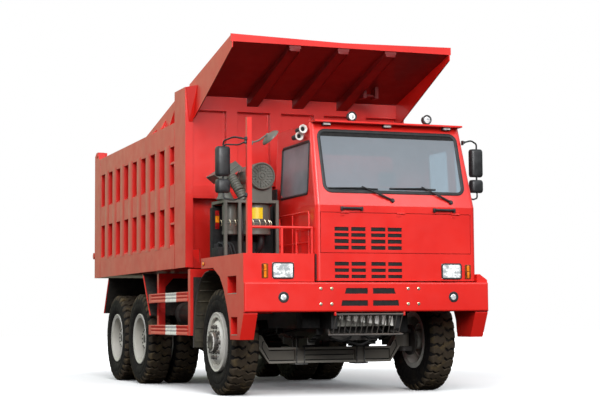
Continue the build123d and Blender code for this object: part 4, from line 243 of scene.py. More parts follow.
@dataclass(frozen=True)
class Enamel(Finish):
    """Sprayed two-pack enamel over welded plate: even colour, a wet coat and a faint orange peel.

    The coat mirrors the pale surroundings most where the eye meets it at a slant, so long sides go paler
    than the face that is met square. Edges are rounded by the paint and catch a thin light.
    """

    colour: str
    deep: str
    pale: str
    coat: float = 0.45
    roughness: float = 0.34
    dust: str = "#8F7A6A"
    dusting: float = 0.10
    peel_mm: float = 9.0
    edge_mm: float = 5.0

    def shade(self, tree: Tree) -> Socket:
        """Builds the paint with the dust that lies on its upward faces.

        Args:
            tree: the material's node tree.

        Returns:
            The surface socket.
        """
        stops = ((0.30, self.deep), (0.50, self.colour), (0.72, self.pale))
        paint = ramp(tree, speckle(tree, 850.0, 4.0), stops)
        facing = add_node(tree, "NewGeometry").outputs["Normal"]
        lying = remap(tree, coordinate(tree, facing, "Z"), (0.3, 1.0))
        dust = spread(tree, speckle(tree, 120.0, 6.0), 0.2 * self.dusting, 2.4 * self.dusting)
        edge = add_node(tree, "Bevel", {"samples": 4}, {"Radius": self.edge_mm / 1000.0}).outputs["Normal"]
        return principled(tree, {
            "Base Color": blend(tree, arith(tree, "MULTIPLY", lying, dust), paint, linear(self.dust)),
            "Roughness": spread(
                tree, speckle(tree, 200.0, 5.0), self.roughness - 0.05, self.roughness + 0.08
            ),
            "Coat Weight": self.coat,
            "Coat Roughness": 0.08,
            "Normal": bump(tree, speckle(tree, self.peel_mm, 2.0), 0.05, 0.002, Normal=edge),
        })


@dataclass(frozen=True)
class Tyre(Finish):
    """Natural rubber compound with carbon black, moulded: nearly black and matt, browned by dried mud.

    The mud lies in soft patches and the mould leaves a fine grain, so the tread never reads as one black.
    """

    colour: str = "#433A2F"
    mud: str = "#62533A"
    muddiness: float = 0.5

    def shade(self, tree: Tree) -> Socket:
        """Builds the rubber and its mud.

        Args:
            tree: the material's node tree.

        Returns:
            The surface socket.
        """
        stops = ((0.34, self.colour), (0.52, self.colour), (0.52 + 0.4 * self.muddiness, self.mud))
        return principled(tree, {
            "Base Color": ramp(tree, speckle(tree, 140.0, 6.0), stops),
            "Roughness": spread(tree, speckle(tree, 60.0), 0.62, 0.9),
            "Specular IOR Level": 0.2,
            "Normal": bump(tree, speckle(tree, 11.0, 5.0), 0.35, 0.003),
        })


@dataclass(frozen=True)
class Moulded(Finish):
    """Injection-moulded ABS or rubber: dull, with the spark-eroded grain of its mould."""

    colour: str
    pale: str
    grain_mm: float = 7.0
    roughness: float = 0.5
    depth: float = 0.18

    def shade(self, tree: Tree) -> Socket:
        """Builds the plastic and its grain.

        Args:
            tree: the material's node tree.

        Returns:
            The surface socket.
        """
        return principled(tree, {
            "Base Color": ramp(tree, speckle(tree, 90.0, 5.0), ((0.35, self.colour), (0.72, self.pale))),
            "Roughness": spread(tree, speckle(tree, 40.0), self.roughness - 0.08, self.roughness + 0.1),
            "IOR": 1.53,
            "Normal": bump(tree, speckle(tree, self.grain_mm, 3.0), self.depth, 0.002),
        })


@dataclass(frozen=True)
class BareMetal(Finish):
    """Zinc-plated, chromed, brushed or rolled metal: it mirrors, and handling marks blur that."""

    colour: str
    stain: str
    roughness: float = 0.3
    metallic: float = 1.0
    mark_mm: float = 45.0
    grain_mm: float = 6.0
    depth: float = 0.08

    def shade(self, tree: Tree) -> Socket:
        """Builds the metal with its stains and its grain.

        Args:
            tree: the material's node tree.

        Returns:
            The surface socket.
        """
        return principled(tree, {
            "Base Color": ramp(
                tree, speckle(tree, self.mark_mm, 6.0), ((0.32, self.stain), (0.55, self.colour))
            ),
            "Metallic": self.metallic,
            "Roughness": spread(tree, speckle(tree, 70.0, 5.0), self.roughness - 0.08, self.roughness + 0.14),
            "Normal": bump(tree, speckle(tree, self.grain_mm, 4.0), self.depth, 0.0015),
        })


@dataclass(frozen=True)
class Glazing(Finish):
    """Laminated float glass with a grey-blue body tint that dims what lies behind it; a pale layer over it
    paints the sky's reflection.
    """

    colour: str
    cloud: str
    clearness: float
    body_tint: str = "#D3E0E6"

    def shade(self, tree: Tree) -> Socket:
        """Builds the clear pane under a pale layer of painted sky reflection, which counts once for each
        pane, where the eye enters it, and thickens at a slant.

        Args:
            tree: the material's node tree.

        Returns:
            The surface socket.
        """
        smears = speckle(tree, 480.0, 4.0)
        # painted reflection: a pale, mostly diffuse layer in the veil's share stands in for the sky mirrored
        # in the pane
        haze = principled(tree, {
            "Base Color": ramp(tree, smears, ((0.35, self.cloud), (0.65, self.colour))),
            "Roughness": spread(tree, smears, 0.16, 0.24),
            "IOR": 1.52,
        })
        clear = add_node(tree, "BsdfTransparent", feeds={"Color": linear(self.body_tint)}).outputs["BSDF"]
        rim = add_node(tree, "LayerWeight", feeds={"Blend": 0.25}).outputs["Facing"]
        leaving = add_node(tree, "NewGeometry").outputs["Backfacing"]
        share = remap(tree, rim, (0.0, 1.0), (1.0 - self.clearness, 1.0))
        veil = arith(tree, "MULTIPLY", share, arith(tree, "SUBTRACT", 1.0, leaving))
        return add_node(tree, "MixShader", feeds={0: veil, 1: clear, 2: haze}).outputs["Shader"]


@dataclass(frozen=True)
class Lens(Finish):
    """Moulded polycarbonate or pressed glass lens, clear or coloured through; its ribs break the light."""

    colour: str
    deep: str
    rib_mm: float = 16.0
    painted_glow: float = 0.0

    def shade(self, tree: Tree) -> Socket:
        """Builds the lens with its ribs and a little painted light of its own, for the shine of the reflector
        behind it; tapes and plates made of it shine the same way.

        Args:
            tree: the material's node tree.

        Returns:
            The surface socket.
        """
        return principled(tree, {
            "Base Color": ramp(tree, speckle(tree, 55.0, 4.0), ((0.40, self.deep), (0.56, self.colour))),
            "Roughness": 0.08,
            "IOR": 1.5,
            "Coat Weight": 0.6,
            "Coat Roughness": 0.03,
            # painted light: the lens gives off a little light of its own, standing in for a lit reflector
            # behind it
            "Emission Color": linear(self.colour),
            "Emission Strength": self.painted_glow,
            "Normal": bump(tree, waves(tree, self.rib_mm, "X", 0.6, Detail=1.0), 0.5, 0.003),
        })


@dataclass(frozen=True)
class Weave(Finish):
    """Woven polyester seat cloth over foam: a soft sheen at the rim and a plain weave."""

    colour: str
    pale: str
    thread_mm: float = 6.0

    def shade(self, tree: Tree) -> Socket:
        """Builds the cloth; its threads are drawn coarser than real so that they show.

        Args:
            tree: the material's node tree.

        Returns:
            The surface socket.
        """
        warp, weft = (waves(tree, self.thread_mm, direction, 0.4) for direction in ("X", "Z"))
        return principled(tree, {
            "Base Color": ramp(tree, speckle(tree, 70.0, 5.0), ((0.35, self.colour), (0.7, self.pale))),
            "Roughness": 0.9,
            "Sheen Weight": 0.3,
            "Sheen Roughness": 0.4,
            "Normal": bump(tree, arith(tree, "MULTIPLY", warp, weft), 0.3, 0.001),
        })


PAINT, IRON, PLASTIC, GREY = "red_paint", "cast_iron", "black_plastic", "grey_plastic"
LAMP, TUBE, FRAME, FLAPS, PANE = "lamp_glass", "steel_tube", "black_frame", "rubber_flap", "tinted_glass"

RED = Enamel("signal_red_enamel", PAINT, "#E3231A", "#DA1E16", "#E92B21")
# painted shade: a darker copy of the signal red, for faces that lie in shade under the canopy and elsewhere
RED_PAINTED_SHADE = Enamel("shaded_red_enamel", PAINT, "#74110F", "#670E0C", "#7E1512", coat=0.12, roughness=0.5)
BLACK = Enamel(
    "chassis_black_enamel", FRAME, "#1D1C1C", "#161516", "#262423", 0.15, 0.48, dusting=0.35, edge_mm=3.0
)
CAST = Enamel(
    "cast_iron_grey_enamel", IRON, "#4B4744", "#3A3633", "#5B5650", 0.1, 0.5, dusting=0.35, edge_mm=4.0
)
SILVER = Enamel(
    "wheel_silver_enamel", "silver_rim", "#DDDAD2", "#C9C5BA", "#EAE8E3", 0.3, 0.3, dusting=0.1, edge_mm=3.0
)
# painted highlight: a lighter copy of the axle beam's grey, laid on its flanges
AXLE_EDGE = Enamel(
    "highlight_axle_edge_enamel", IRON, "#A8A297", "#8F897E", "#BDB7AB", 0.1, 0.5, dusting=0.2, edge_mm=4.0
)
AXLE_GREY = Enamel(
    "dusty_axle_enamel", IRON, "#837D73", "#6B665D", "#969085", 0.1, 0.5, dusting=0.3, edge_mm=4.0
)
OLIVE = Enamel(
    "deck_grey_enamel", GREY, "#5E5E56", "#50504A", "#6B6B62", 0.12, 0.45, dusting=0.2, edge_mm=3.0
)
LABEL = Enamel("yellow_label_film", GREY, "#EBCB12", "#DDBB0A", "#F2D72E", 0.5, 0.3, edge_mm=1.0)
TREAD = Tyre("moulded_tread_rubber", "tyre_rubber")
SIDEWALL = Tyre("tyre_sidewall_rubber", "tyre_rubber", "#191717", "#29241F", 0.35)
SEAL = Moulded("extruded_rubber_seal", PLASTIC, "#1A1B1C", "#2A2C2D", 9.0, 0.55, 0.1)
ABS = Moulded("grained_black_abs", PLASTIC, "#1B1C1D", "#303233", 6.0, 0.42, 0.25)
TRIM = Moulded("cab_trim_abs", "dark_plastic", "#5E666B", "#6E767A", 8.0, 0.6, 0.15)
FLAP = Moulded("mudflap_rubber", FLAPS, "#1B1A19", "#39332C", 14.0, 0.7, 0.3)
FLAP_DUSTY = Moulded("dusty_mudflap_rubber", FLAPS, "#3E3A30", "#5A5342", 18.0, 0.8, 0.35)
# near black: real black parts, and painted shade where it lines the axle beam's hollows, fills the horn
# throats and stands behind the deck rack
DARK = Moulded("black_enamel_and_painted_shade", PLASTIC, "#0B0B0B", "#141313", 20.0, 0.8, 0.1)
ZINC = BareMetal("yellow_zinc_plated_steel", TUBE, "#EFE6C8", "#CFC39C", 0.32)
CHROME = BareMetal("hard_chrome", "chrome_rod", "#DADDE0", "#B9BDC1", 0.12, depth=0.02)
BRIGHT = BareMetal("pressed_aluminium", TUBE, "#C9CBCC", "#9B9C9B", 0.35)
STEEL = BareMetal("rolled_steel", TUBE, "#7C7B79", "#4D4A47", 0.45, 0.8)
MIRROR = BareMetal("silvered_mirror_glass", PLASTIC, "#E9EEF0", "#DDE3E6", 0.09, depth=0.0)
CORE = BareMetal("radiator_fin_aluminium", "radiator_core", "#B4B2A8", "#7F7C72", 0.4, 0.7)
GLASS = Glazing("tinted_laminated_glass", PANE, "#D0DDE7", "#C8D5DF", 0.76)
DOOR_GLASS = Glazing("tinted_side_glass", PANE, "#A8BBC0", "#92A6AC", 0.72)
CLEAR = Lens("clear_lamp_lens", LAMP, "#F6F7F5", "#8A9194", 18.0, 0.22)
AMBER_DEEP = Lens("smoked_amber_lens", LAMP, "#8A4616", "#5C2C0E", 12.0, 0.05)
AMBER = Lens("amber_lamp_lens", LAMP, "#F08A12", "#C25A0A", 12.0, 0.25)
RUBY = Lens("red_lamp_lens", LAMP, "#C01414", "#6E0808", 12.0, 0.1)
TAPE_WHITE = Lens("white_reflective_tape", LAMP, "#F2F2EF", "#D9D9D4", 22.0, 0.1)
CLOTH = Weave("woven_seat_cloth", "seat_fabric", "#3D444B", "#59626A")


@dataclass
class Shape:
    """Collects the faces of one piece before it becomes an object. Each adding method returns the shape."""

    bm: bmesh.types.BMesh = field(default_factory=bmesh.new)

    def row(self, points: Iterable[Sequence[float]]) -> list[bmesh.types.BMVert]:
        """Adds loose corners, for skin() to join."""
        return [self.bm.verts.new(point) for point in points]

    def skin(
        self, rows: Sequence[Sequence[Any]], loop: bool = True, ring: bool = False, caps: bool = True
    ) -> "Shape":
        """Joins rows of corners with faces.

        Args:
            rows: the rows, all of one length.
            loop: True if each row closes on itself.
            ring: True if the last row joins the first.
            caps: True if the first and the last row are closed with a face each.
        """
        count = len(rows[0])
        for one, two in zip(rows, [*rows[1:], rows[0]] if ring else rows[1:]):
            for k in range(count if loop else count - 1):
                m = (k + 1) % count
                corners = list(dict.fromkeys((one[k], two[k], two[m], one[m])))
                if len(corners) > 2:
                    self.bm.faces.new(corners)
        if caps:
            self.bm.faces.new(list(reversed(rows[0])))
            self.bm.faces.new(rows[-1])
        return self

    def block(self, low: Point, high: Point, chamfer: float = 0.003, turn: Matrix | None = None) -> "Shape":
        """Adds a box with chamfered edges.

        Args:
            low: one corner.
            high: the corner across the box from it.
            chamfer: width of the chamfer in metres.
            turn: rotation about the box's middle, if any.
        """
        middle = (Vector(low) + Vector(high)) / 2
        size = [abs(h - l) for l, h in zip(low, high)]
        verts = bmesh.ops.create_cube(self.bm, size=1.0)["verts"]
        for vert in verts:
            place = Vector([c * s for c, s in zip(vert.co, size)])
            vert.co = middle + (turn @ place if turn else place)
        width = min(chamfer, min(size) * 0.35)
        if width > 0.0004:
            edges = list({edge for vert in verts for edge in vert.link_edges})
            bmesh.ops.bevel(self.bm, geom=edges, offset=width, segments=2, profile=0.6, affect="EDGES")
        return self

    def prism(self, outline: Profile, axis: str, low: float, high: float) -> "Shape":
        """Adds a prism between two places on an axis, its outline given across it.

        Args:
            outline: the corners, (y, z) for axis X, (x, z) for Y and (x, y) for Z.
            axis: X, Y or Z.
            low: one end on the axis.
            high: the other end.
        """
        slot = "XYZ".index(axis)
        return self.skin([self.row((*p[:slot], end, *p[slot:]) for p in outline) for end in (low, high)])

    def tube(self, points: Sequence[Point], radius: float, sides: int = 8) -> "Shape":
        """Adds a bent round tube through the points, mitred at its corners.

        Args:
            points: the tube's middle line.
            radius: the tube's radius.
            sides: corners of its section.

        Returns:
            The shape.
        """
        path = [Vector(p) for p in points]
        rings = []
        normal = None
        for i, here in enumerate(path):
            before, after = path[max(i - 1, 0)], path[min(i + 1, len(path) - 1)]
            run_in = (here - before).normalized() if i else (after - here).normalized()
            run_out = (after - here).normalized() if i + 1 < len(path) else run_in
            along = (run_in + run_out).normalized()
            if normal is None:
                normal = along.orthogonal().normalized()
            normal = (normal - along * normal.dot(along)).normalized()
            cross = along.cross(normal)
            stretch = 1.0 / max(0.5, along.dot(run_in)) - 1.0
            bend = run_out - run_in
            bend = bend.normalized() if bend.length > 1e-5 else Vector()
            ring = []
            for k in range(sides):
                angle = 2 * math.pi * k / sides
                offset = (normal * math.cos(angle) + cross * math.sin(angle)) * radius
                ring.append(here + offset + bend * (offset.dot(bend) * stretch))
            rings.append(self.row(ring))
        return self.skin(rings)

    def lathe(
        self, profile: Profile, centre: Point, axis: Point = X_AXIS, sides: int = 48, ring: bool = False
    ) -> "Shape":
        """Turns a profile about an axis.

        Args:
            profile: (radius, distance along the axis) pairs.
            centre: the point from which distances along the axis count.
            axis: direction of the axis.
            sides: number of facets.
            ring: True if the profile closes on itself.
        """
        along = Vector(axis).normalized()
        across = along.orthogonal().normalized()
        if abs(along.z) < 0.9:
            across = (Vector(Z_AXIS) - along * along.z).normalized()
        other = along.cross(across)
        middle = Vector(centre)
        hubs = {row: self.bm.verts.new(middle + along * d) for row, (r, d) in enumerate(profile) if r < 1e-6}
        columns = []
        for k in range(sides):
            angle = 2 * math.pi * k / sides
            out = across * math.cos(angle) + other * math.sin(angle)
            columns.append([
                hubs[row] if row in hubs else self.bm.verts.new(middle + along * d + out * r)
                for row, (r, d) in enumerate(profile)
            ])
        return self.skin(columns, loop=ring, ring=True, caps=False)

    def bolt(self, centre: Point, axis: Point, radius: float, height: float) -> "Shape":
        """Adds a hexagon bolt head on a washer, standing along the axis.

        Args:
            centre: the middle of the seat.
            axis: the way the head stands out.
            radius: the head's radius.
            height: the head's height with its washer.

        Returns:
            The shape.
        """
        thick = height * 0.2
        self.lathe([(0.0, thick), (radius * 1.25, thick), (radius * 1.35, 0.0), (0.0, 0.0)], centre, axis, 16)
        head = [(0.0, height), (radius * 0.8, height), (radius, height * 0.85), (radius, thick), (0.0, thick)]
        return self.lathe(head, centre, axis, 6)

    def bolts(
        self, centre: Point, axis: Point, circle: float, count: int, radius: float, height: float
    ) -> "Shape":
        """Adds bolts evenly on a circle about an X axis.

        Args:
            centre: the circle's middle.
            axis: the way the heads stand out.
            circle: the circle's radius.
            count: how many bolts.
            radius: a head's radius.
            height: a head's height.

        Returns:
            The shape.
        """
        for i in range(count):
            angle = 2 * math.pi * (i + 0.5) / count
            place = (centre[0], centre[1] + circle * math.sin(angle), centre[2] + circle * math.cos(angle))
            self.bolt(place, axis, radius, height)
        return self

    def hull(self, points: Iterable[Point]) -> "Shape":
        """Adds the solid that wraps a few points."""
        bmesh.ops.convex_hull(self.bm, input=self.row(points))
        return self

    def wrap(self, centre: Point, radius: float, angles: Range, height: float, steps: int = 10) -> "Shape":
        """Adds a strip on an upright round body, its angles counted from the front towards +X.

        Args:
            centre: the strip's middle on the body's axis.
            radius: the strip's radius.
            angles: first and last angle in degrees.
            height: the strip's height.
            steps: facets along the strip.

        Returns:
            The shape.
        """
        rows = []
        for i in range(steps + 1):
            angle = math.radians(angles[0] + (angles[1] - angles[0]) * i / steps)
            x, y = centre[0] + radius * math.sin(angle), centre[1] - radius * math.cos(angle)
            rows.append(self.row((x, y, centre[2] + h) for h in (0.0, height)))
        return self.skin(rows, loop=False, caps=False)

    def bellows(self, start: Point, end: Point, radius: float, ribs: int) -> "Shape":
        """Adds a ribbed hose between two points.

        Args:
            start: the middle of its first end.
            end: the middle of its last end.
            radius: the radius over the ribs.
            ribs: how many ribs.

        Returns:
            The shape.
        """
        run = Vector(end) - Vector(start)
        step = run.length / ribs
        rib = ((0.88, 0.0), (1.0, 0.3), (1.0, 0.6), (0.88, 0.9))
        profile = [(radius * share, (i + place) * step) for i in range(ribs) for share, place in rib]
        return self.lathe([(0.0, 0.0), *profile, (0.0, run.length)], start, tuple(run), 20)

    def piece(
        self,
        name: str,
        finish: Finish,
        body: Body = Body.CHASSIS,
        slot: str = "",
        hides: Sequence[str] = (),
        smooth: float = 38.0,
    ) -> bpy.types.Object:
        """Turns the collected faces into an object that rides on a body.

        Args:
            name: the piece's name.
            finish: its finish.
            body: the body it moves with.
            slot: not used.
            hides: frame nodes that the piece stands for.
            smooth: edges sharper than this many degrees stay crisp.

        Returns:
            The new object.
        """
        bmesh.ops.translate(self.bm, verts=self.bm.verts, vec=(0.0, FRONT_AXLE_Y, 0.0))
        bmesh.ops.recalc_face_normals(self.bm, faces=self.bm.faces)
        mesh = bpy.data.meshes.new(name)
        self.bm.to_mesh(mesh)
        self.bm.free()
        mesh.polygons.foreach_set("use_smooth", [True] * len(mesh.polygons))
        mesh.set_sharp_from_angle(angle=math.radians(smooth))
        mesh.materials.append(finish.material())
        thing = bpy.data.objects.new(name, mesh)
        bpy.context.scene.collection.objects.link(thing)
        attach(thing, body.value)
        if hides:
            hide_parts(*hides)
        LOG.info("%s: %d faces on %s", name, len(mesh.polygons), body.value)
        return thing


def shapes(count: int) -> list[Shape]:
    """Starts several empty shapes."""
    return [Shape() for _ in range(count)]


def arc_path(points: Sequence[Point], radius: float, steps: int = 5) -> list[Point]:
    """Rounds the corners of a bent tube's path.

    Args:
        points: the path's corners.
        radius: length that each bend takes from its two runs.
        steps: facets of a bend.

    Returns:
        The path with each inner corner replaced by a bend.
    """
    path = [Vector(p) for p in points]
    bent = [tuple(path[0])]
    for before, here, after in zip(path, path[1:], path[2:]):
        reach = min(radius, (here - before).length * 0.45, (after - here).length * 0.45)
        start = here + (before - here).normalized() * reach
        end = here + (after - here).normalized() * reach
        for i in range(steps + 1):
            t = i / steps
            bent.append(tuple(start.lerp(here, t).lerp(here.lerp(end, t), t)))
    bent.append(tuple(path[-1]))
    return bent


def inset(rect: Sequence[float], by: float) -> tuple[float, float, float, float]:
    """A rectangle (low u, high u, low v, high v) drawn in by a margin on each side."""
    return (rect[0] + by, rect[1] - by, rect[2] + by, rect[3] - by)


@dataclass(frozen=True)
class Panel:
    """A flat face to which trim is fixed: u runs along it, v up it and w stands off it."""

    origin: Point
    along: Point = X_AXIS
    up: Point = Z_AXIS

    def point(self, u: float, v: float, w: float) -> Vector:
        """A place on or off the face."""
        across, upward = Vector(self.along).normalized(), Vector(self.up).normalized()
        return Vector(self.origin) + across * u + upward * v + across.cross(upward) * w

    def loops(
        self, shape: Shape, rect: Sequence[float], radius: float, least: float, levels: Sequence[Range],
        steps: int = 5,
    ) -> list[list[bmesh.types.BMVert]]:
        """Adds the corners of rounded rectangles one within the other.

        Args:
            shape: where the corners go.
            rect: the outer rectangle.
            radius: its corner radius.
            least: the smallest corner radius further in.
            levels: how far each rectangle is drawn in, and its distance off the face.
            steps: facets of a corner.

        Returns:
            A row of corners for each level.
        """
        rows = []
        for margin, w in levels:
            u0, u1, v0, v1 = inset(rect, margin)
            turn = min(max(least, radius - margin), (u1 - u0) / 2 - 1e-4, (v1 - v0) / 2 - 1e-4)
            left, right, foot, head = u0 + turn, u1 - turn, v0 + turn, v1 - turn
            middles = ((right, head), (left, head), (left, foot), (right, foot))
            points = []
            for quarter, (u, v) in enumerate(middles):
                for i in range(steps + 1):
                    angle = math.radians(90 * (quarter + i / steps))
                    points.append(self.point(u + turn * math.cos(angle), v + turn * math.sin(angle), w))
            rows.append(shape.row(points))
        return rows

    def border(
        self, shape: Shape, outer: Sequence[float], width: float, radius: float, low: float, high: float
    ) -> None:
        """Adds a frame of one width along a rounded rectangle, domed a little towards its middle.

        Args:
            shape: where its faces go.
            outer: the outer rectangle.
            width: how wide the frame is.
            radius: outer corner radius.
            low: its underside's distance off the face.
            high: its top's distance off the face.
        """
        rise = width * 0.22
        edge = high - rise * 0.5
        levels = ((0.0, low), (0.0, edge), (rise, high), (width - rise, high), (width, edge), (width, low))
        shape.skin(self.loops(shape, outer, radius, 0.004, levels), ring=True, caps=False)

    def plate(self, shape: Shape, rect: Sequence[float], radius: float, low: float, high: float) -> None:
        """Adds a rounded plate with a small chamfer on its outer face."""
        edge = min(0.004, (high - low) * 0.4)
        shape.skin(self.loops(shape, rect, radius, 0.002, ((0.0, low), (0.0, high - edge), (edge, high))))


def canopy_pan(y: float) -> float:
    """The height of the canopy's underside, which falls towards the body, y behind the front axle."""
    return 4.517 - (y + 0.624) * 0.2578


def canopy_shade(face: bpy.types.MeshPolygon) -> bool:
    """Tells the canopy's faces that look down, and the sides of the beams beneath it, which take the painted
    shade enamel.
    """
    beneath = face.center.z < canopy_pan(face.center.y - FRONT_AXLE_Y) - 0.004
    return face.normal.z < -0.2 or (beneath and abs(face.center.x) < 0.8 and abs(face.normal.z) < 0.2)


BLACK_NODES = (
    "frame_rails cross_members rear_axles front_springs bogie_springs air_tank fuel_tank hoist_barrels "
    "hoist_sleeves"
)
RED_NODES = (
    "bumper fender_right fender_left deck_railing cab_shell sun_visor side_guards "
    "dump_floor dump_sides headboard canopy tailgate door_left front_hatch"
)
NODE_FINISHES: dict[str, Finish] = {
    **dict.fromkeys(BLACK_NODES.split(), BLACK),
    **dict.fromkeys(RED_NODES.split(), RED),
    "engine_block": CAST, "sump_guard": CAST, "knuckle_left": CAST, "knuckle_right": CAST,
    "radiator": CORE, "drive_shafts": STEEL, "front_axle_beam": AXLE_GREY, "hoist_rods": CHROME,
    "air_cleaner": OLIVE, "intake_hood": OLIVE, "windscreen": GLASS, "cab_glass": DOOR_GLASS,
    "door_glass": DOOR_GLASS, "cab_seat": CLOTH, "dashboard": TRIM, "headlamps": CLEAR,
    "fog_lamps": ABS, "mirrors_right": ABS, "mirrors_left": ABS, "mudguards": FLAP,
}
SECOND_FINISHES: dict[str, tuple[Finish, Callable[[bpy.types.MeshPolygon], bool]]] = {
    "bumper": (ZINC, lambda face: face.center.y < FRONT_AXLE_Y - 1.4002),
    # painted shade: the canopy's downward faces and the beam sides beneath it take the darker copy of the red
    "canopy": (RED_PAINTED_SHADE, canopy_shade),
    "sun_visor": (ABS, lambda face: face.center.z > 3.497),
}


def dress_frame() -> None:
    """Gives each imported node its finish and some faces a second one; wheels are told by their names."""
    for name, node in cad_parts.items():
        wheel = SIDEWALL if name.startswith("tyre") else SILVER if name.startswith("rim") else None
        node.data.materials.clear()
        node.data.materials.append((wheel or NODE_FINISHES[name]).material())
        if name in SECOND_FINISHES:
            finish, chosen = SECOND_FINISHES[name]
            node.data.materials.append(finish.material())
            for face in node.data.polygons:
                if chosen(face):
                    face.material_index = 1


@dataclass
class Studio:
    """A white room: the camera of the photograph, soft lamps and a pale floor that keeps the shadow."""

    camera_place: Point = (-7.317, -20.733, 0.997)
    yaw: float = 0.366
    pitch: float = 0.080
    roll: float = -0.007
    lens: float = 87.3
    lift: float = -0.0156
    floor_half: float = 60.0
    lamps: tuple[tuple[str, Point, Point, float, float], ...] = (
        ("key_softbox", (-5.5, -18.0, 10.5), (0.0, 0.0, 2.0), 8.0, 2050.0),
        ("front_softbox", (-3.0, -22.0, 7.0), (0.0, -2.0, 2.0), 6.0, 1200.0),
        ("slant_softbox", (7.6, -19.6, 12.6), (0.4, -4.0, 2.6), 6.0, 380.0),
        ("side_softbox", (-17.0, 1.0, 9.0), (0.0, 1.0, 1.5), 8.0, 450.0),
    )

    def build(self) -> None:
        """Adds the camera, the lamps, the surroundings and the floor."""
        scene = bpy.context.scene
        scene.view_settings.view_transform = "Standard"
        data = bpy.data.cameras.new("main_camera")
        data.lens, data.sensor_width, data.shift_y, data.clip_end = self.lens, 36.0, self.lift, 400.0
        camera = self.stage("main_camera", data)
        level = Vector((math.sin(self.yaw), math.cos(self.yaw), 0.0))
        ahead = level * math.cos(self.pitch) + Vector(Z_AXIS) * math.sin(self.pitch)
        right = ahead.cross(Vector(Z_AXIS)).normalized()
        above = right.cross(ahead)
        tilted = right * math.cos(self.roll) + above * math.sin(self.roll)
        upward = above * math.cos(self.roll) - right * math.sin(self.roll)
        place = Matrix((tilted, upward, -ahead)).transposed().to_4x4()
        place.translation = Vector(self.camera_place)
        camera.matrix_world = place
        scene.camera = camera
        for name, stand, target, size, power in self.lamps:
            lamp = bpy.data.lights.new(name, "AREA")
            lamp.size, lamp.energy = size, power
            thing = self.stage(name, lamp)
            thing.location = stand
            thing.rotation_euler = (Vector(target) - Vector(stand)).to_track_quat("-Z", "Y").to_euler()
        self.surround(scene)
        self.floor()

    @staticmethod
    def stage(name: str, data: bpy.types.ID) -> bpy.types.Object:
        """Links an object of the studio that isn't part of the truck.

        Args:
            name: the object's name.
            data: its camera, lamp or mesh.

        Returns:
            The new object.
        """
        thing = bpy.data.objects.new(name, data)
        bpy.context.scene.collection.objects.link(thing)
        return thing

    @staticmethod
    def surround(scene: bpy.types.Scene) -> None:
        """White to the camera and in glass, and a soft grey light on everything else.

        Args:
            scene: the scene that gets the world.
        """
        world = bpy.data.worlds.new("white_room")
        scene.world = world
        world.use_nodes = True
        tree = world.node_tree
        tree.nodes.clear()
        path = add_node(tree, "LightPath")
        ray = add_node(tree, "TexCoord").outputs["Generated"]
        strength = remap(tree, coordinate(tree, ray, "Z"), (0.02, 0.5), (0.16, 1.0))
        haze = remap(tree, coordinate(tree, ray, "Y"), (0.3, 0.9))
        total = arith(tree, "ADD", strength, arith(tree, "MULTIPLY", haze, 0.52))
        tint = blend(tree, haze, linear("#E6EBF2"), linear("#CFD4B4"))
        light = add_node(tree, "Background", feeds={"Color": tint, "Strength": total})
        white = add_node(tree, "Background", feeds={"Color": linear("#FFFFFF"), "Strength": 1.0})
        seen = arith(tree, "MAXIMUM", path.outputs["Is Camera Ray"], path.outputs["Is Transmission Ray"])
        shader = add_node(tree, "MixShader", feeds={0: seen, 1: light.outputs[0], 2: white.outputs[0]})
        add_node(tree, "OutputWorld", feeds={"Surface": shader.outputs[0]})

    def floor(self) -> None:
        """Adds the floor: white to the camera, meeting the white room, with a dull bounce on the truck; its
        painted light fades towards the truck.
        """
        material = bpy.data.materials.new("matt_floor_paint")
        material.use_nodes = True
        tree = material.node_tree
        tree.nodes.clear()
        paint = add_node(tree, "BsdfDiffuse", feeds={"Color": linear("#FFFFFF"), "Roughness": 0.4})
        place = add_node(tree, "NewGeometry").outputs["Position"]
        reach = add_node(tree, "VectorMath", {"operation": "LENGTH"}, {0: place}).outputs["Value"]
        # painted light: the floor glows to the camera by itself, faintly within 5.2 m of the middle and fully
        # from 11 m, so it lies darker near the truck
        wash = remap(tree, reach, (5.2, 11.0), (0.02, 1.0), interpolation_type="SMOOTHSTEP")
        lift = add_node(tree, "Emission", feeds={"Color": linear("#FFFFFF"), "Strength": wash})
        both = add_node(tree, "AddShader", feeds={0: paint.outputs[0], 1: lift.outputs[0]})
        dull = add_node(tree, "BsdfDiffuse", feeds={"Color": linear("#3A3735")})
        seen = add_node(tree, "LightPath").outputs["Is Camera Ray"]
        surface = add_node(tree, "MixShader", feeds={0: seen, 1: dull.outputs[0], 2: both.outputs[0]})
        add_node(tree, "OutputMaterial", feeds={"Surface": surface.outputs[0]})
        half = self.floor_half
        mesh = bpy.data.meshes.new("studio_floor")
        corners = [(-half, -half, 0), (half, -half, 0), (half, half, 0), (-half, half, 0)]
        mesh.from_pydata(corners, [], [(0, 1, 2, 3)])
        mesh.materials.append(material)
        self.stage("studio_floor", mesh).location = (0, 0, -0.002)


HANDS = ((1, "left"), (-1, "right"))
DECK_Z = 1.779
SPRING_X = 0.430


def across(side: int, near: float, far: float) -> Range:
    """Two places on one side of the truck, the lower first."""
    return min(side * near, side * far), max(side * near, side * far)


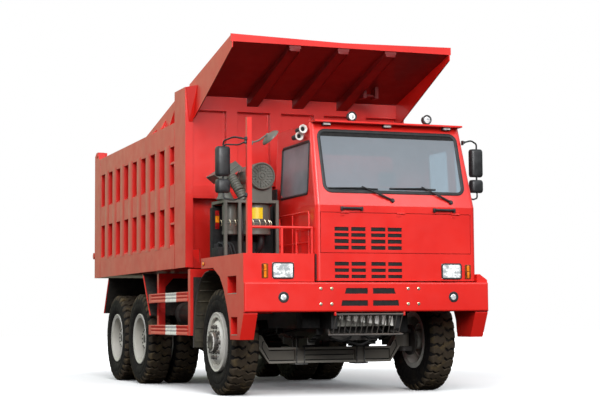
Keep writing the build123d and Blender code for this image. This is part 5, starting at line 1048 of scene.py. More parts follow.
@dataclass
class Tyres:
    """Earthmover tyres with a double row of lugs that interlock along a zigzag groove.

    The carcass is given by radius and half width, the lug by its stations from the middle outwards:
    place across the tread, bend along it and drop below the crown.
    """

    radius: float = AXLE_Z
    base_radius: float = 0.658
    lugs: int = 32
    groove: float = 0.036
    swing: float = 0.015
    chamfer: float = 0.005
    carcass: Profile = (
        (0.340, 0.126), (0.352, 0.133), (0.388, 0.139), (0.400, 0.152), (0.420, 0.168), (0.428, 0.169),
        (0.436, 0.174), (0.470, 0.184), (0.505, 0.187), (0.535, 0.187), (0.542, 0.184), (0.549, 0.186),
        (0.590, 0.183), (0.622, 0.177), (0.640, 0.168), (0.652, 0.158), (0.658, 0.135), (0.658, 0.0),
    )
    stations: tuple[Point, ...] = (
        (-0.012, 0.0, 0.0), (0.018, 1.0, 0.0), (0.060, -1.0, 0.0), (0.104, 1.0, 0.0), (0.140, 0.2, 0.0),
        (0.150, 0.0, 0.004), (0.170, 0.0, 0.030), (0.1795, 0.0, 0.066),
    )
    axles: tuple[tuple[str, float, tuple[float, ...]], ...] = (
        ("tyre_front", 0.0, (1.380,)),
        ("tyres_middle", MIDDLE_AXLE, (0.998, 1.428)),
        ("tyres_rear", REAR_AXLE, (0.998, 1.428)),
    )

    def build(self) -> None:
        """Builds each tyre and hides the plain one from the frame."""
        outline = [*self.carcass, *((r, -s) for r, s in reversed(self.carcass[:-1]))]
        for axle, offset, columns in self.axles:
            for hand, tag in HANDS:
                node, body = f"{axle}_{tag}", Body(f"{axle}_{tag}".replace("tyre", "wheel"))
                carcass, tread = shapes(2)
                for x in columns:
                    centre = (hand * x, offset, self.radius)
                    carcass.lathe(outline, centre, X_AXIS, 96, ring=True)
                    for side in SIDES:
                        for lug in range(self.lugs):
                            self.lug(tread, centre, side, lug + (0.5 if side > 0 else 0.0))
                carcass.piece(f"{node}_carcass", SIDEWALL, body, hides=[node], smooth=30.0)
                tread.piece(f"{node}_lugs", TREAD, body, hides=[node], smooth=30.0)

    def lug(self, shape: Shape, centre: Point, side: int, index: float) -> None:
        """Adds one lug: a bar that bends twice between the middle and the shoulder and runs down its side.

        Args:
            shape: the shape it is added to.
            centre: the tyre's middle.
            side: the tyre's half, -1 or 1 along X.
            index: the lug's number round the tyre.
        """
        pitch = 2 * math.pi / self.lugs
        half = (pitch * self.radius - self.groove) / 2
        rows = []
        for x, bend, drop in self.stations:
            middle = index * pitch + bend * self.swing / self.radius
            reach = half * (0.72 if x > 0.16 else 0.6 if x < 0 else 1.0)
            low = self.base_radius - 0.004 if x < 0.15 else self.radius - drop - 0.030
            top = self.radius - 0.0005 - drop
            flank = [(reach + 0.003, low), (reach, top - self.chamfer), (reach - self.chamfer, top)]
            row = []
            for along, radius in [(-a, r) for a, r in flank] + flank[::-1]:
                angle = middle + along / self.radius
                y, z = centre[1] + radius * math.sin(angle), centre[2] + radius * math.cos(angle)
                row.append((centre[0] + side * x, y, z))
            rows.append(shape.row(row))
        shape.skin(rows, loop=False)


FRONT_FACE = Panel((0.0, -1.360, 0.0))
SCREEN_FOOT = 2.387
SCREEN_LEAN = 0.315 / 1.068
SCREEN_FACE = Panel((0.0, -1.360, SCREEN_FOOT), X_AXIS, (0, SCREEN_LEAN, 1))


def slanted(z: float) -> float:
    """Distance up the slanting cab front for a height."""
    return (z - SCREEN_FOOT) * math.hypot(SCREEN_LEAN, 1.0)


@dataclass
class WheelHardware:
    """Nuts, cones, hubs and lock rings of the wheels."""

    front_disc_x: float = 1.582
    front_hub_end: float = 1.650
    rear_disc_x: float = 1.229
    rear_hub_end: float = 1.500
    cone: Profile = (
        (0.3195, -0.080), (0.3195, -0.060), (0.312, -0.058), (0.300, -0.052), (0.270, -0.0235),
        (0.246, -0.001),
        (0.236, 0.003), (0.150, 0.003), (0.130, 0.001),
    )
    lock_ring: Profile = (
        (0.386, -0.052), (0.386, -0.010), (0.378, -0.002), (0.360, -0.004), (0.346, -0.012), (0.330, -0.016),
        (0.3195, -0.024), (0.3195, -0.052),
    )
    hub_rim: Profile = ((0.142, -0.064), (0.142, -0.052), (0.128, -0.046), (0.1275, -0.016), (0.121, -0.006))
    hub_cap: Profile = (
        (0.108, -0.004), (0.108, 0.0035), (0.100, 0.007), (0.052, 0.007), (0.046, 0.0025), (0.0, 0.0025),
    )
    dish: Profile = (
        (0.3195, 0.330), (0.3195, 0.060), (0.300, 0.022), (0.285, 0.010), (0.178, 0.008), (0.178, 0.001),
    )
    outer_ring: Profile = (
        (0.386, 0.347), (0.386, 0.362), (0.374, 0.368), (0.348, 0.362), (0.322, 0.356), (0.3215, 0.345),
    )
    planetary: Profile = (
        (0.1765, -0.26), (0.1765, -0.05), (0.166, -0.035), (0.166, -0.012), (0.158, 0.003), (0.085, 0.003),
        (0.080, 0.0),
    )

    def build(self) -> None:
        """Builds each wheel's hardware on its own body."""
        for side, hand in HANDS:
            self.front(side, hand)
        for axle, offset in (("middle", MIDDLE_AXLE), ("rear", REAR_AXLE)):
            for side, hand in HANDS:
                self.rear(side, f"{axle}_{hand}", offset)

    def front(self, side: int, hand: str) -> None:
        """A deep cone from the rim to the disc, with nuts about a capped hub.

        Args:
            side: -1 on the right, 1 on the left.
            hand: the side's name.
        """
        cone, nuts, hub = shapes(3)
        body, axis = Body(f"wheel_front_{hand}"), (side, 0, 0)
        disc = (side * self.front_disc_x, 0.0, AXLE_Z)
        cone.lathe(self.cone, disc, axis, 72).lathe(self.lock_ring, disc, axis, 72, ring=True)
        cone.piece(f"wheel_cone_front_{hand}", SILVER, body, smooth=30.0)
        seat = (side * (self.front_disc_x + 0.003), 0.0, AXLE_Z)
        nuts.bolts(seat, axis, 0.205, 10, 0.022, 0.034).bolts(seat, axis, 0.152, 8, 0.012, 0.018)
        for radius, count, stand in ((0.2275, 20, 0.003), (0.283, 24, -0.0345)):
            for i in range(count):
                angle = 2 * math.pi * i / count
                y, z = radius * math.sin(angle), AXLE_Z + radius * math.cos(angle)
                place = (side * (self.front_disc_x + stand), y, z)
                nuts.lathe([(0.0, 0.005), (0.007, 0.004), (0.009, -0.004)], place, axis, 8)
        nuts.piece(f"wheel_nuts_front_{hand}", CAST, body)
        end = (side * self.front_hub_end, 0.0, AXLE_Z)
        hub.lathe(self.hub_rim, end, axis, 40).lathe(self.hub_cap, end, axis, 40)
        hub.bolts(end, axis, 0.115, 10, 0.009, 0.009)
        hub.piece(f"hub_cap_front_{hand}", CAST, body)

    def rear(self, side: int, tag: str, offset: float) -> None:
        """A lock ring, the outer wheel's dish and the planetary hub's bolted cover.

        Args:
            side: -1 on the right, 1 on the left.
            tag: the wheel's name.
            offset: the axle's place behind the front axle.
        """
        dish, nuts, hub = shapes(3)
        body, axis = Body(f"wheels_{tag}"), (side, 0, 0)
        middle = (side * self.rear_disc_x, offset, AXLE_Z)
        dish.lathe(self.dish, middle, axis, 64).lathe(self.outer_ring, middle, axis, 72, ring=True)
        dish.piece(f"wheel_dish_{tag}", SILVER, body, smooth=30.0)
        end = (side * self.rear_hub_end, offset, AXLE_Z)
        nuts.bolts((side * (self.rear_disc_x + 0.009), offset, AXLE_Z), axis, 0.232, 12, 0.022, 0.032)
        nuts.bolts(end, axis, 0.140, 14, 0.013, 0.016)
        nuts.lathe([(0.060, 0.0), (0.060, 0.014), (0.054, 0.018), (0.0, 0.018)], end, axis, 24)
        nuts.piece(f"wheel_nuts_{tag}", STEEL, body, slot=IRON)
        hub.lathe(self.planetary, end, axis, 48)
        hub.piece(f"planetary_hub_{tag}", SILVER, body)


@dataclass
class FrontLamps:
    """Headlamps, indicators and fog lamps with their bezels and lenses."""

    head_x: Range = (1.012, 1.286)
    head_z: Range = (1.475, 1.665)
    turn_x: Range = (1.345, 1.420)
    turn_z: Range = (1.478, 1.650)
    fog_x: float = 1.155
    fog_z: float = 1.243
    fog_bezel: Profile = (
        (0.068, 0.0), (0.068, 0.003), (0.060, 0.0048), (0.040, 0.002), (0.037, -0.003), (0.037, -0.008),
        (0.062, -0.008),
    )

    def build(self) -> None:
        """Builds both sides' lamps."""
        bezels, clear, amber, brown, bolts = shapes(5)
        for side in SIDES:
            head = (*across(side, *self.head_x), *self.head_z)
            turn = (*across(side, *self.turn_x), *self.turn_z)
            FRONT_FACE.border(bezels, inset(head, -0.006), 0.016, 0.034, 0.0, 0.018)
            FRONT_FACE.plate(clear, inset(head, 0.012), 0.024, 0.009, 0.0145)
            FRONT_FACE.plate(brown, inset(turn, -0.005), 0.012, 0.001, 0.0125)
            split = (turn[2] + turn[3]) / 2
            for low, high in ((turn[2] + 0.006, split - 0.004), (split + 0.004, turn[3] - 0.006)):
                FRONT_FACE.plate(amber, (turn[0] + 0.022, turn[1] - 0.022, low, high), 0.008, 0.0125, 0.021)
            for x in (0.520, 0.665):
                for z in (1.156, 1.347):
                    cap = [(0.020, 0.0), (0.020, 0.003), (0.015, 0.0058), (0.0, 0.0066)]
                    bolts.lathe(cap, (side * x, -1.4001, z), FORWARD, 18)
            centre = (side * self.fog_x, -1.4015, self.fog_z)
            bezels.lathe(self.fog_bezel, centre, FORWARD, 44, ring=True)
            dome = [(0.0375, -0.004), (0.028, 0.001), (0.016, 0.0032), (0.0, 0.0038)]
            clear.lathe(dome, centre, FORWARD, 32)
        bezels.piece("lamp_bezels", ABS)
        clear.piece("lamp_lenses", CLEAR)
        amber.piece("indicator_lenses", AMBER)
        brown.piece("indicator_housings", AMBER_DEEP)
        bolts.piece("bumper_bolt_caps", ZINC)


@dataclass
class SumpLouvres:
    """Slanting louvres of the belly plate behind the tube guard, and the tabs that hold its top tube."""

    count: int = 9
    reach: Range = (-0.430, 0.350)
    top: float = 1.015
    drop: Range = (0.975, 0.885)
    half: float = 0.026

    def build(self) -> None:
        """Builds the upright fins in pale enamel and the red tabs."""
        fins, tabs = shapes(2)
        for i in range(self.count):
            share = i / (self.count - 1)
            x = self.reach[0] + (self.reach[1] - self.reach[0]) * share
            low = self.drop[0] + (self.drop[1] - self.drop[0]) * share
            left, right = x - self.half, x + self.half
            corners = [(left, self.top), (right, self.top), (right, low - 0.005), (left, low + 0.005)]
            fins.prism(corners, "Y", -1.245, -1.237)
            fins.block((left, -1.237, low + 0.005), (left + 0.006, -1.205, self.top), 0.001)
        fins.piece("belly_louvres", SILVER, slot=IRON)
        for x in (-0.469, 0.469):
            tabs.block((x - 0.012, -1.391, 1.012), (x + 0.012, -1.359, 1.0595), 0.003)
            tabs.bolt((x, -1.3905, 1.038), FORWARD, 0.007, 0.006)
        tabs.piece("guard_tabs", RED)


@dataclass
class CabTrim:
    """Window seals, wipers, handles, horns, lamps and door hardware of the cab.

    A wiper is given by its pivot (x, z), its clip on the blade (x, z) and the blade's two ends (x).
    """

    screen_seal: tuple[float, float, float, float] = (-0.583, 1.388, 2.545, 3.376)
    wipers: tuple[tuple[float, float, float, float, float, float], ...] = (
        (0.34, 2.458, -0.07, 2.624, -0.52, 0.16),
        (1.16, 2.451, 0.764, 2.636, 0.325, 0.971),
    )
    handles: tuple[Range, ...] = ((-0.38, -0.08), (0.895, 1.21))
    markers: tuple[float, ...] = (-0.45, 0.39, 1.24)
    work_lamps: tuple[float, ...] = (-0.100, 0.960)
    rail_x: float = -0.745
    bell: Profile = (
        (0.026, 0.026), (0.032, 0.010), (0.050, 0.0), (0.056, 0.003), (0.052, 0.012), (0.034, 0.040),
        (0.022, 0.090), (0.022, 0.10),
    )
    horn_body: Profile = (
        (0.0, 0.095), (0.026, 0.095), (0.032, 0.105), (0.032, 0.215), (0.024, 0.225), (0.0, 0.225),
    )
    lamp_case: Profile = (
        (0.040, 0.030), (0.058, 0.018), (0.064, -0.004), (0.064, -0.014), (0.056, -0.018), (0.043, -0.010),
    )

    def build(self) -> None:
        """Builds the trim, the part on the door on the door's own body."""
        self.seals()
        self.wiper_sets()
        self.hardware()
        self.lamps()
        self.horns()
        self.door()

    def seals(self) -> None:
        """Extruded rubber about the screen and the side window, with the dark print at the screen's top."""
        seal, band = shapes(2)
        x0, x1, z0, z1 = self.screen_seal
        SCREEN_FACE.border(seal, (x0, x1, slanted(z0), slanted(z1)), 0.042, 0.115, -0.007, 0.012)
        self.side_panel(-1).border(seal, (0.075, 1.080, 2.536, 3.235), 0.030, 0.060, -0.004, 0.010)
        seal.piece("window_seals", SEAL)
        printed = (x0 + 0.036, x1 - 0.036, slanted(3.285), slanted(3.345))
        SCREEN_FACE.plate(band, printed, 0.02, -0.0055, -0.0048)
        band.piece("screen_band", DARK)

    @staticmethod
    def side_panel(side: int) -> Panel:
        """The cab's leaning side wall, measured away from the axle on the right side, and from the ground.

        Args:
            side: -1 on the right, 1 on the left.

        Returns:
            The wall as a panel.
        """
        foot, head = (1.107, 2.387), (1.055, 3.455)
        lean = (head[0] - foot[0]) / (head[1] - foot[1])
        return Panel((0.400 + side * (foot[0] - lean * foot[1]), 0.0, 0.0), (0, side, 0), (side * lean, 0, 1))

    def wiper_sets(self) -> None:
        """Two arms with their blades, standing off the screen."""
        arms, blades = shapes(2)
        place = SCREEN_FACE.point
        for px, pz, cx, cz, b0, b1 in self.wipers:
            cap = [(0.028, 0.0), (0.028, 0.020), (0.018, 0.030), (0.0, 0.030)]
            arms.lathe(cap, place(px, slanted(pz), 0.0), (0, -1, SCREEN_LEAN), 20)
            base, clip = place(px, slanted(pz), 0.018), place(cx, slanted(cz), 0.034)
            bow = Vector((0, -0.008, 0))
            arms.tube([base, base.lerp(clip, 0.45) + bow], 0.0135)
            arms.tube([base.lerp(clip, 0.4) + bow, clip], 0.0085)
            z = slanted(cz - 0.022)
            blade = [place(b0 + 0.10, z, 0.022), place(cx, z + 0.004, 0.034), place(b1 - 0.10, z, 0.022)]
            arms.tube(blade, 0.0055)
            SCREEN_FACE.plate(blades, (b0, b1, z - 0.009, z + 0.009), 0.004, -0.004, 0.018)
        arms.piece("wiper_arms", ABS)
        blades.piece("wiper_blades", SEAL)

    def hardware(self) -> None:
        """Grab handles above the hatch and the rail behind the deck equipment."""
        bars, rail = shapes(2)
        for x0, x1 in self.handles:
            for x in (x0 + 0.016, x1 - 0.016):
                bars.block((x - 0.016, -1.394, 2.322), (x + 0.016, -1.3605, 2.372), 0.006)
            bars.tube([(x0 + 0.02, -1.386, 2.350), (x1 - 0.02, -1.386, 2.350)], 0.0165, 12)
        bars.piece("grab_handles", ABS)
        x, foot = self.rail_x, DECK_Z
        loop = [(x, -1.215, foot), (x, -1.215, 2.310), (x, -0.160, 2.310), (x, -0.160, foot)]
        rail.tube(arc_path(loop, 0.05), 0.011, 10)
        rail.tube([(x, -1.200, 1.928), (x, -0.175, 1.928)], 0.009, 10)
        rail.tube([(x, -0.640, foot), (x, -0.640, 2.300)], 0.009, 10)
        rail.piece("cab_side_rail", RED)

    def lamps(self) -> None:
        """Markers under the visor and two work lamps on it."""
        bases, lenses, cases, glass = shapes(4)
        for x in self.markers:
            bases.block((x - 0.058, -1.104, 3.418), (x + 0.058, -1.062, 3.455), 0.006)
            lenses.block((x - 0.048, -1.122, 3.424), (x + 0.048, -1.104, 3.451), 0.008)
        for x in self.work_lamps:
            centre = (x, -1.097, 3.547)
            cases.lathe(self.lamp_case, centre, Y_AXIS, 32)
            cases.block((x - 0.022, -1.120, 3.482), (x + 0.022, -1.075, 3.492), 0.003)
            glass.lathe([(0.044, 0.008), (0.030, 0.013), (0.0, 0.016)], centre, FORWARD, 24)
        bases.piece("marker_bases", ABS)
        lenses.piece("marker_lenses", TAPE_WHITE)
        cases.piece("work_lamp_cases", ABS)
        glass.piece("work_lamp_lenses", CLEAR)

    def horns(self) -> None:
        """Two air horns on the cab's right side, their bells forward, a near-black disc as painted shade deep
        in each bell.
        """
        bells, bodies, throats = shapes(3)
        for x, y, z in ((-0.735, -0.99, 3.372), (-0.752, -0.90, 3.292)):
            mouth = (x, y - 0.03, z)
            bells.lathe(self.bell, mouth, Y_AXIS, 28)
            # painted shade: a near-black disc closes each bell where its throat would lie in shade
            throats.lathe([(0.028, 0.024), (0.0, 0.025)], mouth, Y_AXIS, 24)
            bodies.lathe(self.horn_body, mouth, Y_AXIS, 20)
            bodies.block((x, y + 0.09, z - 0.010), (-0.668, y + 0.13, z + 0.010), 0.003)
        bells.piece("horn_bells", SILVER, slot=TUBE)
        throats.piece("horn_throats", DARK)
        bodies.piece("horn_bodies", ABS)

    def door(self) -> None:
        """The door's window seal and its recessed handle."""
        seal, handle = shapes(2)
        self.side_panel(1).border(seal, (-0.745, -0.075, 2.480, 3.235), 0.028, 0.060, -0.002, 0.009)
        seal.piece("door_window_seal", SEAL, Body.DOOR)
        flat = Panel((1.507, 0.0, 0.0), Y_AXIS)
        flat.plate(handle, (-0.155, -0.030, 2.235, 2.335), 0.016, 0.0005, 0.007)
        flat.plate(handle, (-0.150, -0.045, 2.262, 2.300), 0.010, 0.0075, 0.020)
        handle.piece("door_handle", ABS, Body.DOOR)


@dataclass
class Seat:
    """The driver's seat: a cushion, a back and a headrest over a boxed suspension base."""

    def build(self) -> None:
        """Builds the padded pieces and the base."""
        base = Shape().block((0.680, -0.440, 1.646), (1.120, -0.020, 1.990), 0.02)
        for z in (1.74, 1.80, 1.86):
            base.block((0.668, -0.450, z), (1.132, -0.010, z + 0.022), 0.006)
        base.piece("seat_base", ABS, hides=["cab_seat"])
        self.pad("seat_cushion", (0.650, -0.515, 1.995), (1.150, -0.040, 2.130), 0.05)
        self.pad("seat_back", (0.655, -0.035, 2.060), (1.145, 0.095, 2.745), 0.06)
        self.pad("seat_headrest", (0.775, -0.025, 2.770), (1.025, 0.080, 2.970), 0.05)

    @staticmethod
    def pad(name: str, low: Point, high: Point, round_by: float) -> None:
        """Adds one stuffed block, crowned between its seams.

        Args:
            name: the piece's name.
            low: its lowest corner.
            high: its highest corner.
            round_by: how far its edges are rounded.
        """
        shape = Shape()
        bm = shape.bm
        for vert in bmesh.ops.create_cube(bm, size=1.0)["verts"]:
            vert.co = Vector([l + (h - l) * (c + 0.5) for l, h, c in zip(low, high, vert.co)])
        edges = list(bm.edges)
        bmesh.ops.bevel(bm, geom=edges, offset=round_by * 0.6, segments=2, profile=0.7, affect="EDGES")
        long = [edge for edge in bm.edges if edge.calc_length() > 0.08]
        bmesh.ops.subdivide_edges(bm, edges=long, cuts=3, use_grid_fill=True)
        pad = shape.piece(name, CLOTH, hides=["cab_seat"], smooth=60.0)
        smoother = pad.modifiers.new("stuffing", "SUBSURF")
        smoother.levels = smoother.render_levels = 1


@dataclass
class DeckGear:
    """Air cleaner drum, canisters, ducts, cabinet and chequered plate on the right deck."""

    drum: Point = (-1.080, -0.400, 2.820)
    canisters: tuple[tuple[float, float, float, int], ...] = (
        (-1.075, -0.140, 0.195, 8), (-1.437, -0.165, 0.098, 5),
    )
    cover: Profile = (
        (0.176, 0.0), (0.176, 0.030), (0.170, 0.044), (0.158, 0.044), (0.150, 0.026), (0.056, 0.020),
        (0.050, 0.034), (0.040, 0.034), (0.036, 0.024), (0.024, 0.024), (0.022, 0.044), (0.0, 0.046),
    )
    funnel: Profile = (
        (0.108, 0.0), (0.112, 0.004), (0.112, 0.018), (0.056, 0.130), (0.050, 0.150), (0.0, 0.152),
    )

    def build(self) -> None:
        """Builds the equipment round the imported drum, rack and canisters."""
        self.drum_face()
        self.bands()
        self.ducts()
        self.cabinet()
        self.tread_plate()

    @staticmethod
    def tread_plate() -> None:
        """Raised bars of the chequered plate on the deck, turned by a right angle from one to the next."""
        bars = Shape()
        for column in range(13):
            for row in range(20):
                x, y = -0.790 - column * 0.064, -1.270 + row * 0.072
                turn = Matrix.Rotation(math.radians(45 if (column + row) % 2 else -45), 3, "Z")
                bars.block((x - 0.017, y - 0.0035, 1.7775), (x + 0.017, y + 0.0035, 1.7815), 0.0, turn)
        bars.piece("deck_tread_bars", CAST)

    def drum_face(self) -> None:
        """Stamped cover of the drum: rolled rim, rings of short ribs and a boss with its wing nut."""
        x, y, z = self.drum
        face = Shape().lathe(self.cover, self.drum, FORWARD, 64)
        for radius, count, length in ((0.128, 22, 0.034), (0.086, 14, 0.026)):
            for i in range(count):
                turn = 2 * math.pi * i / count
                place = Vector((x + radius * math.cos(turn), y - 0.027, z + radius * math.sin(turn)))
                half = Vector((length / 2, 0.010, 0.0075))
                face.block(place - half, place + half, 0.003, Matrix.Rotation(-turn, 3, "Y"))
        for band_y in (-0.30, -0.02, 0.10):
            band = [(0.1725, 0.0), (0.178, 0.004), (0.178, 0.026), (0.1725, 0.030)]
            face.lathe(band, (x, band_y, z), Y_AXIS, 56)
        face.block((-1.250, -0.385, 2.700), (-0.910, -0.376, 2.716), 0.002)
        face.piece("cleaner_drum_cover", OLIVE)

    def bands(self) -> None:
        """Clamp bands with wing clips round both canisters, and the blank label."""
        sleeves, bands, clips, label = shapes(4)
        for x, y, radius, count in self.canisters:
            sleeve = [(0.0, 0.0), (radius - 0.04, 0.0), (radius - 0.006, 0.006), (radius, 0.016),
                      (radius, 0.380), (radius - 0.010, 0.394), (0.0, 0.394)]
            sleeves.lathe(sleeve, (x, y, 2.076), Z_AXIS, 56)
            for z in (2.205, 2.239):
                rim = [(radius, 0.0), (radius + 0.010, 0.002), (radius + 0.010, 0.016), (radius, 0.018)]
                bands.lathe(rim, (x, y, z), Z_AXIS, 48)
            foot = [(radius, -0.135), (radius + 0.004, -0.130), (radius + 0.004, -0.090), (radius, -0.088)]
            bands.lathe(foot, (x, y, 2.205), Z_AXIS, 48)
            for i in range(count):
                turn = math.radians(-95 + 160 * i / (count - 1))
                a, b = x + (radius + 0.012) * math.sin(turn), y - (radius + 0.012) * math.cos(turn)
                clips.tube([(a, b, 2.183), (a + 0.004, b - 0.014, 2.209), (a - 0.006, b - 0.010, 2.245),
                            (a - 0.012, b, 2.261)], 0.0045, 6)
        x, y, _, _ = self.canisters[0]
        label.wrap((x, y, 2.272), 0.1965, (-42.0, 10.0), 0.145)
        sleeves.piece("canister_sleeves", OLIVE)
        bands.piece("canister_bands", OLIVE)
        clips.piece("canister_clips", ZINC)
        label.piece("cleaner_blank_label", LABEL)

    def ducts(self) -> None:
        """Ribbed elbow under the intake hood, the hood's seams and the funnel over the small canister."""
        duct, hood = shapes(2)
        duct.bellows((-1.400, -0.110, 2.840), (-1.318, -0.215, 2.640), 0.068, 7)
        duct.bellows((-1.318, -0.215, 2.640), (-1.270, -0.250, 2.512), 0.066, 4)
        duct.piece("intake_elbow", OLIVE)
        hood.lathe(self.funnel, (-1.520, -0.230, 2.511), Z_AXIS, 28)
        seam = ((-1.632, 2.848), (-1.520, 2.760), (-1.240, 2.948), (-1.345, 3.040))
        for y in (-0.122, 0.240):
            hood.hull((x, y + side * 0.006, z) for side in SIDES for x, z in seam)
        hood.tube([(-1.560, -0.133, 2.800), (-1.300, -0.133, 2.985)], 0.008)
        hood.tube([(-1.450, -0.133, 2.930), (-1.390, -0.133, 2.845)], 0.008)
        hood.piece("intake_hood_flanges", OLIVE)

    @staticmethod
    def cabinet() -> None:
        """A tall dark cabinet at the deck's edge, valves and hoses at its foot, and near-black panels behind
        the rack as painted shade.
        """
        case, hoses, tape, red = shapes(4)
        for low, high, chamfer in (
            ((-1.625, 0.000, 1.780), (-1.470, 0.095, 2.432), 0.008),
            ((-1.625, -0.014, 1.80), (-1.609, 0.001, 2.42), 0.003),
            ((-1.486, -0.014, 1.80), (-1.470, 0.001, 2.42), 0.003),
            ((-1.640, -0.30, DECK_Z), (-1.47, -0.020, 1.900), 0.010),
            ((-1.560, -0.10, DECK_Z), (-1.20, 0.090, 1.990), 0.010),
            ((-1.30, -0.06, DECK_Z), (-0.92, 0.15, 1.985), 0.010),
            # painted shade: near-black panels behind the rack and against the cab wall, where there is only
            # shade
            ((-1.545, 0.108, DECK_Z), (-0.728, 0.150, 2.468), 0.004),
            ((-0.745, -0.035, DECK_Z), (-0.727, 0.150, 2.690), 0.004),
        ):
            case.block(low, high, chamfer)
        for x, z in ((-1.60, 1.89), (-1.53, 1.91)):
            valve = [(0.0, 0.0), (0.034, 0.0), (0.034, 0.05), (0.028, 0.06), (0.0, 0.06)]
            case.lathe(valve, (x, -0.12, z), Z_AXIS, 16)
        for i in range(4):
            x = -1.605 + 0.045 * i
            path = [(x, -0.12, 1.90), (x + 0.02, -0.14, 1.97), (x + 0.06, -0.20, 1.95),
                    (x + 0.08, -0.27, 1.80)]
            hoses.tube(arc_path(path, 0.04), 0.010)
        hoses.tube(arc_path([(-1.29, -0.2, 2.46), (-1.29, -0.25, 2.10), (-1.25, -0.05, 1.80)], 0.06), 0.018)
        outlet = [(-1.00, -0.14, 2.07), (-1.00, -0.14, 1.95), (-1.02, 0.05, 1.79)]
        hoses.tube(arc_path(outlet, 0.05), 0.045, 12)
        door = Panel((0.0, -0.0155, 0.0))
        for shape, low, high in ((tape, 2.235, 2.320), (red, 2.325, 2.390), (red, 2.150, 2.230)):
            door.plate(shape, (-1.583, -1.531, low, high), 0.004, 0.0, 0.003)
        case.piece("deck_cabinet_and_shade_panels", DARK)
        hoses.piece("deck_hoses", SEAL, slot=FLAPS)
        tape.piece("cabinet_reflector", AMBER)
        red.piece("cabinet_red_reflector", RUBY)


@dataclass
class Mirrors:
    """Rear-view mirrors in moulded housings on bent arms, and the round convex mirror by the post."""

    half: float = 0.0925
    post: Range = (-1.611, -1.325)
    bowl: Profile = (
        (0.0, -0.050), (0.030, -0.050), (0.038, -0.044), (0.085, -0.034), (0.114, -0.016), (0.126, 0.002),
        (0.127, 0.010), (0.121, 0.012),
    )

    def build(self) -> None:
        """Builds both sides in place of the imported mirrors."""
        self.pair("right", -1.7775, -0.950, 2.540, (self.post, self.post))
        self.pair("left", 1.7775, -0.900, 2.630, ((1.511, -1.085), (1.478, -1.085)))
        self.convex()

    def pair(self, tag: str, x: float, y: float, low: float, feet: tuple[Range, Range]) -> None:
        """Two housings, their glass, and an arm at each end of the upright tube.

        Args:
            tag: the side's name.
            x: the mirrors' middle.
            y: the upright tube's place.
            low: the lower housing's foot.
            feet: places of the arms' lower and upper feet.
        """
        cases, glass, arms = shapes(3)
        for z0, z1 in ((low, low + 0.170), (low + 0.210, low + 0.580)):
            self.housing(cases, x, y, z0, z1)
            glass.block((x - 0.076, y + 0.038, z0 + 0.018), (x + 0.076, y + 0.0435, z1 - 0.018), 0.001)
        side = -1 if x < 0 else 1
        for z, inner, (fx, fy), bow in (
            (low - 0.055, low + 0.02, feet[0], -0.05), (low + 0.635, low + 0.56, feet[1], 0.045),
        ):
            bend = (x * 0.55 + fx * 0.45, (y + fy) / 2 - 0.02, z + bow)
            path = [(x, y - 0.002, inner), (x, y - 0.012, z + bow * 0.3), bend, (fx, fy, z)]
            arms.tube(arc_path(path, 0.05), 0.011, 10)
            arms.block((fx - 0.011, fy - 0.020, z - 0.030), (fx + 0.011, fy + 0.020, z + 0.030), 0.006)
            boss = [(0.0, 0.0), (0.019, 0.0), (0.019, 0.030), (0.0, 0.034)]
            arms.lathe(boss, (fx + side * 0.005, fy - 0.030, z - 0.012), Z_AXIS, 12)
        arms.tube([(x, y, low + 0.15), (x, y, low + 0.23)], 0.012, 10)
        if side < 0:
            fx, fy = self.post
            path = [(x, y - 0.01, low + 0.58), (x + 0.02, y - 0.05, low + 0.60), (-1.66, -1.20, low + 0.575),
                    (fx, fy, low + 0.60)]
            arms.tube(arc_path(path, 0.04), 0.010, 10)
            arms.block((-1.622, fy - 0.020, low + 0.575), (-1.6003, fy + 0.020, low + 0.615), 0.005)
        cases.piece(f"mirror_housings_{tag}", ABS, hides=[f"mirrors_{tag}"], smooth=30.0)
        glass.piece(f"mirror_glass_{tag}", MIRROR)
        arms.piece(f"mirror_arms_{tag}", ABS, hides=[f"mirrors_{tag}"], smooth=50.0)

    def housing(self, shape: Shape, x: float, y: float, z0: float, z1: float, count: int = 16) -> None:
        """Adds a housing: flat where its glass sits, bowed in front, drawn in at its ends.

        Args:
            shape: the shape it is added to.
            x: the housing's middle.
            y: the upright tube's place.
            z0: its foot.
            z1: its top.
            count: facets round its front.
        """
        rows = []
        ends = [(0.0, 0.80), (0.012, 0.93), (0.035, 1.0)]
        for z, scale in [(z0 + up, s) for up, s in ends] + [(z1 - up, s) for up, s in ends[::-1]]:
            reach = self.half * scale
            row = []
            for i in range(count + 1):
                c, s = math.cos(math.pi * i / count), math.sin(math.pi * i / count)
                bowed = y + 0.036 - 0.080 * scale * abs(s) ** 0.6
                row.append((x + reach * math.copysign(abs(c) ** 0.55, c), bowed, z))
            row += [(x - reach, y + 0.044, z), (x + reach, y + 0.044, z)]
            rows.append(shape.row(row))
        shape.skin(rows)

    def convex(self) -> None:
        """The kerb mirror: a round domed glass in a dish, tilted down, on an arm from the post."""
        dish, glass = shapes(2)
        centre, axis = Vector((-1.262, -1.250, 3.215)), Vector((0.715, 0.05, -0.70)).normalized()
        dish.lathe(self.bowl, centre, axis, 40)
        glass.lathe([(0.121, 0.010), (0.085, 0.020), (0.045, 0.026), (0.0, 0.028)], centre, axis, 36)
        back = centre - axis * 0.048
        near = back + Vector((-0.03, -0.004, -0.012))
        path = [(-1.540, -1.325, 3.130), (-1.440, -1.315, 3.160), near, back]
        dish.tube(arc_path(path, 0.03), 0.011, 10)
        knuckle = [(0.0, -0.02), (0.020, -0.016), (0.024, 0.0), (0.020, 0.016), (0.0, 0.02)]
        dish.lathe(knuckle, back, Z_AXIS, 16)
        dish.block((-1.5397, -1.345, 3.105), (-1.520, -1.305, 3.155), 0.005)
        dish.piece("kerb_mirror_dish", OLIVE, slot=PLASTIC)
        glass.piece("kerb_mirror_glass", MIRROR)


